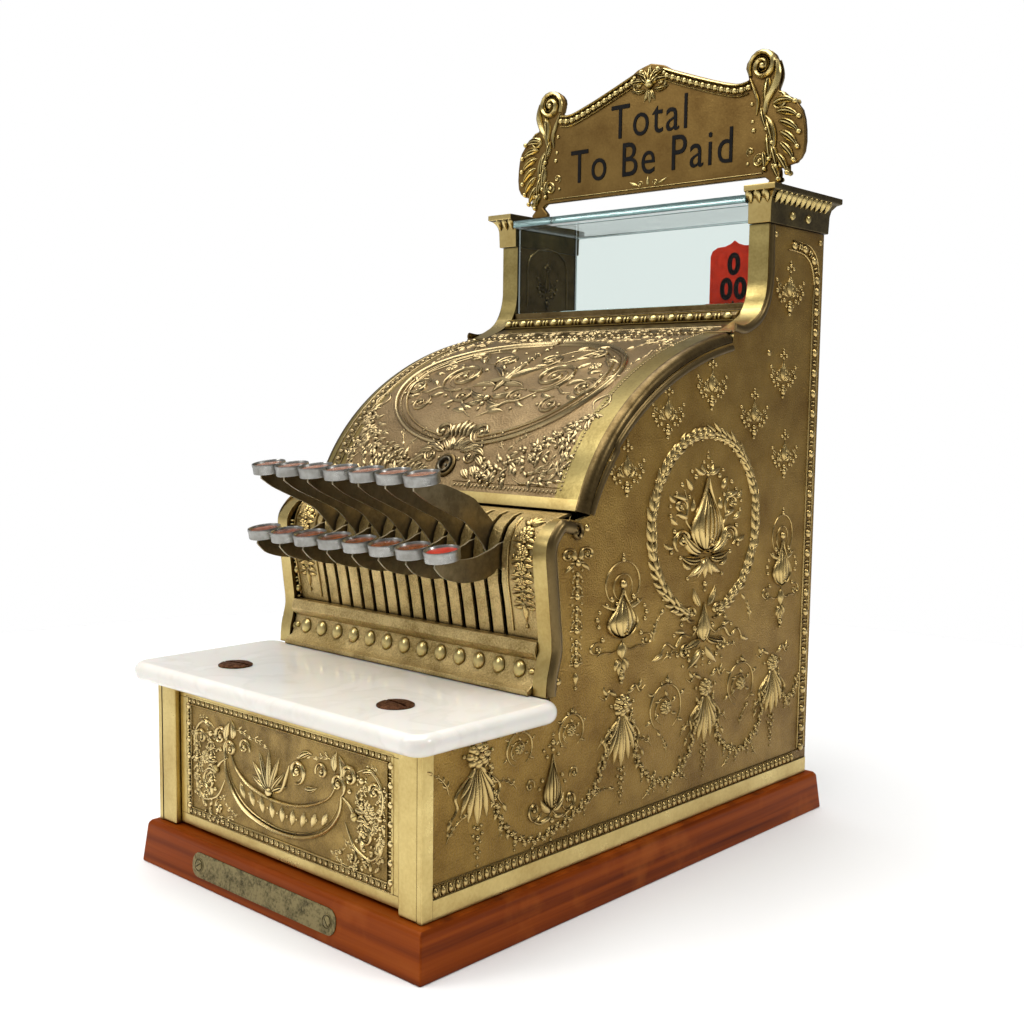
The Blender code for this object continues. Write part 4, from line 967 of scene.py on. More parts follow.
# ------------------------------------------------------------------ ornament of each casting
def side_sheet():
    """All the raised ornament of one side casting: u is y and v is z, in millimetres."""
    sheet = Ornament()
    sheet.at(57.5, 218.8).medallion(59.0)
    for u, v, size in ((-26.9, 256.6, 1.0), (12.8, 290.2, 1.0), (59.7, 308.1, 1.0), (110.6, 289.2, 1.0),
                       (146, 316.7, 1.0), (151, 261.7, 1.0), (151.3, 374.5, 1.1)):
        sheet.at(u, v, size, wide=1.55).fleur()
    sheet.at(-28.4, 156.0, wide=1.75).pendant()
    sheet.at(152.5, 170.0, 1.08, wide=1.3).pendant()
    sheet.at(-71, 205, wide=1.25).chain(70)
    for half in sheet.at(-71, 206, wide=1.5).halves():
        half.volute(5.5, 3.5, 4.8, 200, -400, 1.3)
        half.petal(1, 0, 60, 8, 3, bend=40)
        half.petal(2, -2, -10, 7, 2.6, bend=-50)

    # garlands of the lower field: knots with drapery, festoons between them and flowers in scrolls
    for (u, v), size in zip(((-150.6, 109.2), (-26.6, 115.1), (61.9, 112.1), (144.8, 116.7)), (8.0, 7.6, 6.6, 6.4)):
        knot = sheet.at(u, v, wide=1.2)
        knot.rosette(size)
        knot.at(0, -size * 0.7).tassel(32)
        for half in knot.halves():
            half.stroke([(4, 6), (10, 11), (14, 6), (19, 9)], 1.3)
            half.petal(5, 6, 60, 8, 3.0, bend=-50)
            half.petal(12, 8, 30, 7, 2.6, bend=50)
            half.bead(9, 1, 1.2, sides=6)
    for start, low, end in (((-143, 106), (-103, 51), (-36, 104)), ((-18, 108), (20, 58), (54, 104)),
                            ((70, 104), (104, 62), (137, 108)), ((152, 108), (166, 88), (180, 104))):
        sheet.swag(start, low, end, 3.3)
    for u, v, size in ((18, 106, 15), (104, 108, 14.5), (-74, 108, 10), (-118, 106, 9.5)):
        sheet.at(u, v, wide=1.2).flower_loop(size)
    onion = sheet.at(-90, 65, wide=0.95)
    onion.ribbed_bud(14, 32)
    for half in onion.halves():
        half.volute(16.0, 3.0, 7.0, 200, 400, 1.7)
        half.curl(20.0, 18.0, 4.2, 200, -400, 1.3)
        half.stroke([(0, 0), (6, -5), (13, -5), (22, 1)], 1.5)
        half.petal(1, -1, 15, 14, 5, bend=50)
        half.petal(1, -3, -35, 11, 4, bend=50)
        half.beads((9, 19, 1.4), (11.6, 14.6, 1.2), (5, 32, 1.3), (8, 36, 1.1), (3.5, 38, 1.1))
    onion.beads((0, 35.5, 1.5), (0, 39.5, 1.9), (0, 44, 1.2), (0, -6, 1.8), (0, -10, 1.3))
    for u, v, turn, bend, length in ((4, 84, 110, 70, 18), (34, 84, 70, -70, 18), (88, 86, 110, 70, 18),
                                     (120, 86, 70, -70, 18), (-50, 92, 60, -60, 17), (-120, 84, 110, 60, 15),
                                     (172, 78, 105, 40, 17), (-172, 92, 95, 50, 17), (-174, 66, 80, -50, 15),
                                     (-56, 62, 60, -70, 16), (20, 76, 90, 40, 14), (104, 78, 90, -40, 14),
                                     (-4, 52, 20, 50, 15), (44, 54, 150, -50, 15), (84, 54, 20, 50, 14),
                                     (128, 54, 150, -50, 14), (-134, 60, 60, 50, 13), (4, 150, 110, -60, 17),
                                     (112, 150, 70, 60, 17), (14, 136, 60, -80, 16), (98, 134, 120, 80, 16)):
        sheet.at(u, v, wide=1.2).spray(length, turn, bend, 4)

    # borders
    sheet.egg_and_dart([(-182, 42.5), (178, 42.5)], 7.0, 5.4)
    for height in (39.2, 46.4):
        sheet.line([(-183.4, height), (194.2, height)], 0.9, 0.6, thin=1)
    arch = smooth_path([(187, 48), (187, 200), (187, 370), (186.5, 384), (182, 396), (173, 402.5), (160, 404.5),
                        (150, 404.6)], 6)
    sheet.bead_and_reel(arch, 4.6)
    for shift in (-4.4, 4.4):
        edge = [(u + (shift if v < 380 else shift * 0.7), v + (0 if v < 380 else shift * 0.75)) for u, v in arch]
        sheet.line(edge, 1.0, 0.8, thin=1)
    front = [(y / MM + 9.0, z / MM) for y, z in RIM[:8]]
    sheet.line(smooth_path([(-87.5, 134), *front[1:], (-78, 232)], 3), 1.0, 0.8)
    for u, v in ((-63.1, 224.5), (-86.3, 138.5), (127, 331), (131, 410), (190.5, 410)):
        sheet.bead(u, v, 2.3, 1.3, sides=12)
    return sheet


def lid_sheet():
    """The lid's ornament: u is x and v runs up the lid from its foot, in millimetres."""
    sheet = Ornament()
    # ring of the cartouche: a thick cord with thinner ones inside, whose lower ends curl up to a clasp
    for reach, width, rise in ((1.0, 3.0, 2.2), (0.955, 1.2, 1.0), (0.90, 1.8, 1.5)):
        for half in sheet.halves(0, 101.5):
            ring = ellipse(0, 0, 91 * reach, 63.5 * reach, 46, -79, 88)
            half.line(ring, width, rise, thin=0.9)
    for half in sheet.halves():
        half.volute(17.5, 48.5, 9.0, -80, -430, 2.6)
        half.volute(40, 105, 18.5, -120, 560, 2.6)
        half.volute(74, 92, 11.0, 150, -500, 2.2)
        half.volute(19, 128, 10.0, -60, 480, 2.0)
        half.volute(54, 136, 9.0, 220, -470, 1.9)
        half.volute(58, 74, 8.5, 100, 440, 1.8)
        half.volute(24, 82, 8.5, 60, 440, 1.8)
        half.stroke([(3, 62), (13, 68), (20, 76), (30, 78), (40, 88)], 2.2)
        half.stroke([(40, 88), (52, 92), (60, 86), (67, 86)], 1.9)
        half.stroke([(27, 124), (38, 126), (46, 138), (60, 136), (70, 124), (80, 112), (82, 100)], 1.9)
        half.stroke([(20, 137), (30, 144), (42, 146), (52, 143)], 1.6)
        for u, v, turn, length, width, bend in (
                (6, 70, -10, 15, 5, 50), (10, 66, 30, 14, 5, -40), (44, 86, -50, 13, 4.6, 50),
                (58, 94, 60, 14, 5, -60), (66, 84, -50, 13, 4.4, 60), (84, 100, 60, 13, 4.4, -60),
                (66, 126, 20, 14, 5, -50), (60, 138, 120, 12, 4.2, 40), (40, 126, 60, 12, 4.2, -50),
                (50, 116, 10, 13, 4.6, 60), (28, 78, -60, 12, 4.2, 50), (64, 110, -20, 12, 4.2, 50),
                (30, 144, 100, 12, 4.2, -50), (44, 147, 60, 11, 4, -40), (12, 116, 50, 12, 4.2, -40)):
            half.petal(u, v, turn, length, width, bend=bend, ribs=1, rows=5)
        half.at(65, 118).rosette(5.2)
        half.beads((27, 114, 1.8), (40, 82, 1.6), (56, 104, 1.7), (82, 84, 1.5), (78, 106, 1.5), (57, 122, 1.5),
                   (34, 134, 1.6), (66, 74, 1.5), (48, 74, 1.4), (84, 112, 1.3), (70, 132, 1.5), (14, 142, 1.5),
                   (28, 70, 1.4), (10, 90, 1.7))
    # lily in the middle
    sheet.petal(0, 86, 90, 58, 9, belly=0.34, ribs=5, rise=2.4, rows=10, hollow=0.8)
    for v, spread in ((104, 9), (112, 8), (120, 7), (128, 6), (136, 5)):
        for turn in (40, 140):
            sheet.petal(0, v, turn, spread, spread * 0.4, bend=90 - turn, rise=2.2)
    for half in sheet.halves():
        half.petal(2.4, 102, 62, 28, 6.5, bend=-46, ribs=3, rise=2.4, rows=7)
        half.petal(3, 94, 34, 22, 6, bend=-70, ribs=3, rise=2.2, rows=7)
        half.petal(2, 82, -20, 20, 6, bend=70, ribs=3, rise=2.2, rows=7)
        half.petal(2, 78, -50, 16, 5.4, bend=60, ribs=3, rise=2.0, rows=7)
    sheet.line([(-9, 97), (0, 99.5), (9, 97)], 3.0, 3.4, thin=0.8)
    sheet.beads((0, 148, 2.2), (0, 152.5, 1.5), (0, 80, 2.8), (0, 74, 2.0), (0, 69, 1.5))
    # clasp that gathers the ring's ends
    for u in (-6.4, -3.2, 0, 3.2, 6.4):
        sheet.petal(u, 44, 90 - u * 2.2, 15 - abs(u) * 0.5, 4.0, rise=3.0, belly=0.5)
    # leafy crown over the lock
    for half in sheet.halves():
        half.volute(17, 30, 6.5, 100, -420, 1.8)
        for u, v, turn, length, bend in ((1.5, 34, 84, 12, -20), (3, 34, 60, 14, -36), (7, 33, 38, 15, -44),
                                         (12, 35, 46, 13, -60), (18, 34, 20, 13, -64), (22, 30, -8, 13, -50),
                                         (22, 24, -30, 12, -40), (16, 22, -60, 11, 30)):
            half.petal(u, v, turn, length, 6.2, bend=bend, ribs=3, rise=2.0, rows=6)
        half.beads((12, 42, 1.5), (24, 38, 1.5), (31, 29, 1.4), (30, 20, 1.3), (9, 28, 1.4), sides=6)
    # fruit garland hung from the ring's sides to the lock
    for half in sheet.halves():
        path = smooth_path([(99, 66), (88, 48), (76, 36), (63, 28), (50, 22.5), (37, 18.5), (25, 16)], 6)
        half.bouquet(path, 18.0, 0.75, 7.6, 0.35)
        for points in ([(98, 68), (104, 76), (99, 84), (92, 77), (98, 68)], [(86, 30), (93, 23), (88, 17), (80, 19)],
                       [(60, 17), (68, 13.8), (76, 15), (84, 13.6)], [(91, 42), (96, 34), (92, 28), (96, 20)]):
            half.stroke(points, 1.5)
        for u, v, turn, bend, length in ((94, 24, 80, 50, 20), (74, 21, 10, 50, 15), (90, 150, -50, -50, 20),
                                         (88, 168, 200, 40, 22), (62, 173, 180, 20, 20), (95, 138, 80, 40, 16),
                                         (36, 173, 175, 10, 18), (95, 176, -130, 40, 14), (60, 50, 200, 40, 15),
                                         (44, 36, 150, -40, 14), (94, 108, 90, 20, 13), (34, 46, 160, 60, 12)):
            half.at(u, v).spray(length, turn, bend, 4)
        half.bouquet([(70, 18), (84, 17), (94, 22), (95, 44)], 9, 1.7, 7.5, 0.2)
        half.bouquet([(96, 150), (92, 168), (78, 177), (56, 179), (30, 178)], 7, 3.6, 6.0, 0.1)
        half.at(15, 176).rosette(5)
        for u, v, radius in ((76, 163, 6.0), (47, 177, 4.6), (92, 158, 4.6)):
            half.volute(u, v, radius, -60, 430, 1.5)
    sheet.at(0, 174).rosette(6.5)
    # borders
    for start, end in ((-96, -13), (13, 97)):
        for u, v, turn in spaced([(start, 10.2), (end, 10.2)], 3.1):
            sheet.bead(u, v, 0.85, 0.75, stretch=1.7, turn=60, sides=6)
        sheet.line([(start - 2, 12.9), (end + 2, 12.9)], 0.6, 0.4, thin=1)
    sheet.egg_and_dart([(-106, 12), (-106, 188)], 6.0, 5.6)
    for u in (-101.6, -110.6):
        sheet.line([(u, v) for v in range(10, 191, 4)], 1.0, 0.8, thin=1)
    for u, v, turn in spaced([(100.4, 12), (100.4, 190)], 2.6):
        sheet.bead(u, v, 0.8, 0.7, sides=6)
    sheet.egg_and_dart([(-96, 187), (96, 187)], 5.6, 5.6)
    return sheet


def drawer_sheet():
    """The drawer front's ornament: u is x and v is z, in millimetres, round a ribbon that bears no words."""
    sheet = Ornament()
    left, right, bottom, top = -91.0, 91.0, 41.0, 106.4
    corners = ((left, bottom), (right, bottom), (right, top), (left, top))
    for grow, width in ((0.0, 1.1), (5.0, 1.1)):
        ring = [(u + math.copysign(grow, u), v + (grow if v > 70 else -grow)) for u, v in corners]
        sheet.line(ring, width, 0.9, closed=True)
    for v in (bottom - 2.5, top + 2.5):
        sheet.egg_and_dart([(left - 1, v), (right + 1, v)], 3.8, 4.9)
    for u in (left - 2.5, right + 2.5):
        sheet.bead_and_reel([(u, bottom + 1), (u, top)], 3.4)
    # the ribbon: two edges with a row of buds between them
    lower = smooth_path([(-56, 84), (-54, 70), (-44, 57), (-28, 49.5), (-4, 46), (20, 48.5), (40, 57), (51, 69),
                         (53, 80)], 5)
    upper = smooth_path([(-50, 86), (-45, 76), (-34, 69), (-20, 65.5), (-2, 64), (16, 66), (32, 71), (43, 77),
                         (48, 84)], 5)
    sheet.line(lower, 2.4, 2.2)
    sheet.line(upper, 2.0, 1.9)
    sheet.line([(u * 0.96, v + 2.2) for u, v in lower[3:-3]], 0.9, 0.8)
    for place in range(9):
        share = (place - 4) / 4
        u, v = share * 36, 57.0 + 6.5 * share * share
        sheet.petal(u, v - 5.0, 90 - share * 26, 10.5, 4.4, belly=0.5, rise=1.5)
        sheet.bead(u + 4.5, v + 0.8 * share, 1.0, sides=6)
    # rolled ends and leafy scrolls either side
    for half in sheet.halves():
        half.volute(50, 86, 6.8, -60, 400, 2.2)
        half.volute(60, 92, 7.6, 230, -430, 2.2)
        half.volute(36, 90, 5.6, 200, -400, 1.8)
        half.volute(72, 62, 7.0, 110, -420, 1.9)
        half.volute(80, 88, 6.2, -60, 420, 1.9)
        half.volute(62, 48, 4.6, 110, -400, 1.5)
        half.stroke([(53, 80), (60, 76), (66, 70), (72, 70), (79, 66)], 2.0)
        half.stroke([(56, 66), (62, 56), (68, 52), (78, 50), (85, 56)], 1.8)
        half.stroke([(66, 96), (74, 99), (82, 96), (87, 88), (86, 78), (82, 70)], 1.7)
        for u, v, turn, bend, length in ((68, 84, 60, -50, 13), (80, 64, 60, 60, 14), (78, 48, 10, 60, 12),
                                         (46, 98, 150, 50, 14), (85, 76, 90, -30, 12), (58, 42, 190, -40, 12),
                                         (30, 97, 170, 30, 13), (84, 98, 120, 60, 9), (54, 58, -60, 50, 11),
                                         (84, 46, 90, 20, 9), (44, 47, -10, 40, 10)):
            half.at(u, v).spray(length, turn, bend, 3)
        for u, v, turn, length, width, bend in ((54, 90, 70, 14, 5, 60), (48, 92, 120, 13, 5, -60),
                                                (64, 76, -30, 13, 4.6, 60), (70, 96, 40, 12, 4.4, -50)):
            half.petal(u, v, turn, length, width, bend=bend, ribs=3, rows=6)
        half.at(70, 92).chain(34, 4.8)
        half.at(85, 90).chain(32, 5.2)
        half.at(76, 76).rosette(4.8)
        half.at(86, 62).rosette(3.2)
        half.bouquet([(66, 82), (82, 74), (84, 58), (74, 44), (58, 44)], 14, 2.0, 5.4, 0.9)
        for u, v, radius in ((66, 58, 1.5), (87, 52, 1.4), (60, 84, 1.6), (72, 54, 1.4), (52, 48, 1.4)):
            half.bead(u, v, radius)
    # plume over the ribbon
    for turn, length in ((90, 26), (72, 25), (108, 25), (54, 22), (126, 22), (36, 17), (144, 17)):
        sheet.petal(-12 + (90 - turn) * 0.03, 68, turn, length, 4.8, ribs=3, rise=2.0, bend=(90 - turn) * -0.4)
    sheet.bead(-12, 68, 3.0, 2.6)
    sheet.volute(14, 86, 8.0, -100, 430, 2.4)
    sheet.stroke([(-8, 68), (0, 72), (4, 80), (7, 88)], 2.2)
    sheet.petal(16, 93, 60, 14, 5, bend=-60, ribs=3)
    sheet.petal(20, 78, -20, 13, 4.6, bend=50, ribs=3)
    return sheet


def sign_sheet():
    """The top sign's ornament: u is x and v is z, in millimetres."""
    sheet = Ornament()
    for half in sheet.halves():
        edge = smooth_path([(85, 517.2), (74, 516.6), (54, 522.4), (33, 529.8), (18, 535.4), (13, 537.4)], 5)
        half.line(edge, 2.2, 2.4, thin=0.9)
        half.line([(u, v - 7.6) for u, v in edge], 1.4, 1.4, thin=0.9)
        for u, v, turn in spaced([(u, v - 3.8) for u, v in edge], 5.6):
            half.bead(u, v, 2.3, 2.6, stretch=1.1, turn=turn)
            half.bead(u + math.cos(math.radians(turn)) * 2.8, v + math.sin(math.radians(turn)) * 2.8, 2.1, 1.8,
                      stretch=0.3, turn=turn, sides=6)
        half.line([(0, 454.6), (98, 454.6)], 1.1, 0.8, thin=1)
        # volute and its collar
        half.curl(95.9, 526.4, 11.2, -150, -600, 4.2, eye=False, rise=3.6)
        half.curl(95.9, 526.4, 7.6, -190, -430, 1.2, eye=False, rise=2.6)
        half.bead(95.9, 526.4, 2.6, 3.4)
        half.stroke([(106.5, 529), (108.0, 520), (105, 511), (100, 503), (98, 494)], 5.0, 3.4, thin=0.5)
        half.stroke([(86, 520), (90, 511), (93, 503), (92, 494)], 2.6, 2.4)
        half.petal(101, 520, -104, 26, 7, bend=22, ribs=3, rise=3.0, rows=8)
        half.stroke([(98, 494), (104, 488), (107, 478), (105, 466), (99, 458)], 3.0, 2.4)
        half.volute(109, 501, 6.6, 90, -420, 2.2)
        # feathery acanthus of the end, outer leaves over inner ones
        for u, v, turn, length, width, bend in (
                (104, 499, 40, 19, 6.4, -70), (107, 494, 18, 20, 6.4, -60), (109, 488, 0, 20, 6.4, -52),
                (110, 481, -12, 20, 6.4, -48), (110, 474, -24, 19, 6.2, -42), (108, 467, -36, 18, 6.0, -36),
                (105, 461, -50, 14, 5.2, -24), (100, 492, -66, 20, 6, -14), (101, 482, -78, 20, 6, -10),
                (104, 474, -60, 18, 5.6, -24), (98, 470, -66, 14, 5, -30), (96, 500, -80, 18, 5, 10)):
            half.petal(u, v, turn, length, width, bend=bend, ribs=3, rise=3.0, rows=7)
            a = math.radians(turn + bend * 0.55)
            half.bead(u + math.cos(a) * length * 0.94, v + math.sin(a) * length * 0.94, 1.9, 2.6)
        half.volute(95, 463, 5.0, 60, 430, 1.8)
        half.volute(88, 470, 3.4, 240, -400, 1.3)
        half.beads((90, 484, 1.8), (89, 490, 1.4), (88, 502, 1.5), (112, 458.6, 1.8), (86, 462, 1.3))
        # crest and the small ornament at the foot
        half.volute(10.5, 529.5, 5.0, 240, 430, 2.1)
        half.petal(3, 531, 14, 17, 5.4, bend=-24, ribs=3, rise=3.0)
        half.petal(2, 533, 42, 12, 5.0, bend=-30, ribs=3, rise=3.2)
        half.petal(3, 525, -14, 15, 4.8, bend=30, ribs=3, rise=2.6)
        half.bead(7.5, 538.2, 2.0, 3.2)
        half.bead(13.5, 534.6, 1.8, 3.0)
        half.curl(7, 457.6, 2.6, 180, -400, 0.9)
        half.petal(9, 457, 10, 9, 2.6, bend=20)
    for turn in (90, 64, 116, 40, 140):
        sheet.petal(0, 528, turn, 14.5 - abs(turn - 90) * 0.05, 5.6, ribs=3, rise=3.6)
    sheet.bead(0, 529, 3.6, 4.4)
    for turn in (-90, -62, -118):
        sheet.petal(0, 526, turn, 11, 4.4, ribs=3)
    sheet.petal(0, 456, 90, 7, 3)
    return sheet


def back_sheet():
    """The back plate's ornament: u runs to the viewer's right and v is z, in millimetres."""
    sheet = Ornament()
    sheet.at(0, 214).medallion(59.0)
    for u, v in ((-86, 300), (86, 300), (-88, 240), (88, 240), (-88, 180), (88, 180), (-48, 318), (48, 318),
                 (0, 326)):
        sheet.at(u, v, 0.95).fleur()
    for u in (-78, 0, 78):
        knot = sheet.at(u, 112)
        knot.rosette(9)
        knot.at(0, -7).tassel(36)
        for half in knot.halves():
            half.stroke([(4, -6), (12, -10), (15, -4), (22, -8)], 1.5)
    for side in (-1, 1):
        sheet.swag((side * 8, 104), (side * 39, 70), (side * 70, 104), 3.0)
        sheet.at(side * 39, 101).flower_loop(12)
    for u in (-60, -18, 18, 60):
        sheet.at(u, 58).spray(16, 90, 30 if u < 0 else -30)
    corners = [(-108, 36), (108, 36), (108, 342), (-108, 342)]
    for inset in (0, 7.4):
        sheet.line([(u - math.copysign(inset, u), v + (inset if v < 100 else -inset)) for u, v in corners], 1.1, 0.8,
                   closed=True)
    sheet.egg_and_dart([(-102, 39.7), (102, 39.7)], 6.0, 5.6)
    sheet.egg_and_dart([(-102, 338.3), (102, 338.3)], 6.0, 5.6)
    for u in (-104.3, 104.3):
        sheet.bead_and_reel([(u, 44), (u, 334)], 4.6)
    return sheet


# ------------------------------------------------------------------ settings
class RegisterSettings(bpy.types.PropertyGroup):
    """The sizes, words and colours that a user of the register may want to change."""

    upper_line: StringProperty(name="Sign's Upper Line", description="Generic words on the top sign's first line",
                               default="Total")
    lower_line: StringProperty(name="Sign's Lower Line", description="Generic words on the second line",
                               default="To Be Paid")
    letter_size: FloatProperty(name="Letter Size", description="Height of the top sign's letters", default=0.036,
                               min=0.010, max=0.045, subtype="DISTANCE", unit="LENGTH")
    shelf_corner: FloatProperty(name="Shelf Corner", description="Radius of the marble shelf's corners",
                                default=0.012, min=0.002, max=0.030, subtype="DISTANCE", unit="LENGTH")
    shelf_nosing: FloatProperty(name="Shelf Nosing", description="Rounding of the marble shelf's edges",
                                default=0.0056, min=0.0005, max=0.0060, subtype="DISTANCE", unit="LENGTH")
    cap_reach: FloatProperty(name="Key Ring", description="Outer radius of a key's nickel ring",
                             default=CAP_RADIUS, min=0.008, max=CAP_RADIUS, subtype="DISTANCE", unit="LENGTH")
    relief_height: FloatProperty(name="Relief Height", description="How far ornament stands out, against the pattern",
                                 default=1.0, min=0.3, max=1.3, subtype="FACTOR")
    floor_colour: FloatVectorProperty(name="Floor", description="Colour of the studio floor", subtype="COLOR",
                                      default=hex_colour("#F7F7F6")[:3], size=3, min=0.0, max=1.0)


def settings():
    return bpy.context.scene.brass_register


class BRASSREGISTER_OT_base(bpy.types.Operator):
    """Make the wooden base with its blank badge"""
    bl_idname = "brassregister.base"
    bl_label = "Wooden Base"

    def execute(self, context):
        slope, arris = 0.0030, 0.0034
        base = block(BASE_LOW, BASE_HIGH, 0)
        for corner in base.data.vertices:
            if corner.co.z > 0.01:
                corner.co.x -= math.copysign(slope, corner.co.x)
                corner.co.y -= math.copysign(slope, corner.co.y)
        choose(base)
        for edge in base.data.edges:
            edge.select = all(base.data.vertices[end].co.z > 0.01 for end in edge.vertices)
        for corner in base.data.vertices:
            corner.select = corner.co.z > 0.01
        for face in base.data.polygons:
            face.select = face.center.z > BASE_HIGH.z - 1e-5
        bpy.ops.object.mode_set(mode="EDIT")
        bpy.ops.mesh.bevel(offset=arris, segments=4, affect="EDGES")
        bpy.ops.object.mode_set(mode="OBJECT")
        eased(base, 0.0012, 3, 50)
        settle(dress(base, "wood"), "mahogany_base", "case", "mahogany", "wood_base")

        half, corner, thick, screw_x = (0.0680, 0.0075), 0.0066, 0.0010, 0.0608
        outline = []
        for u, v, start in ((1, -1, -90), (1, 1, 0), (-1, 1, 90), (-1, -1, 180)):
            outline += ellipse(u * (half[0] - corner), v * (half[1] - corner), corner, corner, 5, start, start + 90)
        badge = plate(outline, "Z", 0.0, thick, 0.0003)
        lean = math.atan2(slope * 0.97, BASE_HIGH.z - arris)
        low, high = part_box("badge_plate")
        middle = Vector(((low.x + high.x) / 2, high.y - 0.0006, (low.z + high.z) / 2))
        stand = Matrix.Translation(middle) @ Matrix.Rotation(math.pi / 2 - lean, 4, "X")
        parts = [badge]
        for side, turn in ((-1, 35), (1, -50)):
            parts.append(screw_head(0.0031, 0.0011, Matrix.Translation((side * screw_x, 0, thick)), turn))
            parts.append(turned([(0.0036, thick - 0.0002), (0.0044, thick - 0.0002), (0.0042, thick + 0.0003),
                                 (0.0038, thick + 0.0003)], Matrix.Translation((side * screw_x, 0, 0)), 24))
        badge = joined(parts, "badge")
        badge.data.transform(stand)
        settle(dress(badge, "badge"), "blank_badge", "case", "badge_brass", "badge_plate")
        return {"FINISHED"}


class BRASSREGISTER_OT_cabinet(bpy.types.Operator):
    """Make the side and back castings with their bands and ornament"""
    bl_idname = "brassregister.cabinet"
    bl_label = "Cabinet Castings"

    def execute(self, context):
        for side, name, place in ((1, "right", ON_RIGHT), (-1, "left", ON_LEFT)):
            wall = carried(f"side_plate_{name}", 0.0006, 2, 24)
            dress(wall, "panel", "band", "edge", "lid_band")
            skin, neck = CASE - 0.0012, 0.36
            paint_where(wall, 1, lambda centre, normal: abs(normal.x) < 0.8 or abs(centre.x) < skin)
            paint_where(wall, 3, lambda centre, normal: centre.z > neck and normal.y < -0.3)
            # inner faces of the casting take the dark edge finish: painted shade
            paint_where(wall, 2, lambda centre, normal: abs(normal.x) > 0.8 and abs(centre.x) < skin)
            settle(wall, f"side_casting_{name}", "case", "cast_brass", f"side_plate_{name}")
            laid(side_sheet(), f"side_ornament_{name}", place, "case", "cast_brass", "panel_relief")

            bands = joined([plate([(y0, z0), (y1, z0), (y1, z1), (y0, z1)], "X", CASE - 0.0004, CASE + 0.0006, 0.0003)
                            for y0, z0, y1, z1 in ((-0.1916, 0.0277, -0.1836, 0.1181),
                                                   (-0.1836, 0.0277, 0.1952, 0.0388))], "bands")
            if side < 0:
                bands.data.transform(Matrix.Diagonal((-1, 1, 1, 1)))
            outward(bands)
            settle(dress(bands, "band"), f"side_bands_{name}", "case", "cast_brass")

            ridge = Ornament()
            rim = [(y / MM + 4.2, z / MM) for y, z in RIM]
            rim = [(-92.6, 131.4), *rim[1:8], (-81.5, 226.5), (-75, 225.0)]
            ridge.line(smooth_path(rim, 5), 8.0, 3.0, thin=0.9)
            ridge.curl(-72.5, 222.6, 5.2, 120, -430, 2.4, rise=2.6)
            tower = [(84, 346), (96, 345.0), (108, 349.4), (117, 356.5), (123, 367), (125.8, 380), (126, 398),
                     (126, 415)]
            ridge.line(smooth_path(tower, 5), 6.5, 2.2, thin=0.8)
            foot = [(y / MM, z / MM) for y, z in lid_curve(40)]
            under = [(u + 5.5, v - 9.5) if u < -40 else (u + 2, v - 10.2) for u, v in foot[2:]]
            ridge.line(under, 5.0, 1.6, thin=0.8)
            # the ridge takes the dark edge finish: a painted dark reflection along the rim's side
            laid(ridge, f"side_ridge_{name}", place, "case", "cast_brass", "edge", tallest=3.0)

            beads = Ornament()
            beads.bead_and_reel(smooth_path([(y / MM + 4.6, z / MM) for y, z in RIM[1:7]], 4), 4.2)
            inner = on_flat((side * RIM_INSIDE, 0, 0), (0, 1, 0), (0, 0, 1), (-side, 0, 0))
            laid(beads, f"rim_beads_{name}", inner, "case", "cast_brass", "band")

        back = carried("back_plate", 0.0006)
        settle(dress(back, "panel"), "back_casting", "case", "cast_brass", "back_plate")
        laid(back_sheet(), "back_ornament", ON_BACK, "case", "cast_brass", "panel_relief")
        return {"FINISHED"}


class BRASSREGISTER_OT_columns(bpy.types.Operator):
    """Make the bright posts either side of the drawer"""
    bl_idname = "brassregister.columns"
    bl_label = "Drawer Posts"

    def execute(self, context):
        for name in ("left", "right"):
            post = carried(f"front_column_{name}", 0.0011, 3)
            settle(dress(post, "band"), f"drawer_post_{name}", "case", "bright_brass", f"front_column_{name}")
        return {"FINISHED"}


class BRASSREGISTER_OT_shelf(bpy.types.Operator):
    """Make the marble shelf and its two large screws"""
    bl_idname = "brassregister.shelf"
    bl_label = "Marble Shelf"

    def execute(self, context):
        corner, nosing = settings().shelf_corner, settings().shelf_nosing
        outline = []
        for x, y, start in ((SHELF_HIGH.x, SHELF_LOW.y, -90), (SHELF_HIGH.x, SHELF_HIGH.y, 0),
                            (SHELF_LOW.x, SHELF_HIGH.y, 90), (SHELF_LOW.x, SHELF_LOW.y, 180)):
            middle_y = (SHELF_LOW.y + SHELF_HIGH.y) / 2
            outline += ellipse(x - math.copysign(corner, x), y - math.copysign(corner, y - middle_y), corner, corner,
                               9, start, start + 90)
        shelf = plate(outline, "Z", SHELF_LOW.z, SHELF_HIGH.z, nosing, 6)
        settle(dress(shelf, "marble"), "marble_slab", "case", "marble", "marble_shelf")
        for name, turn in (("left", 12), ("right", -8)):
            low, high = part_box(f"shelf_screw_{name}")
            foot = Matrix.Translation(((low.x + high.x) / 2, (low.y + high.y) / 2, SHELF_HIGH.z + 0.0002))
            head = screw_head((high.x - low.x) / 2, high.z - SHELF_HIGH.z - 0.0002, foot, turn, 40)
            settle(dress(head, "rust"), f"slotted_screw_{name}", "case", "aged_screw", f"shelf_screw_{name}")
        return {"FINISHED"}


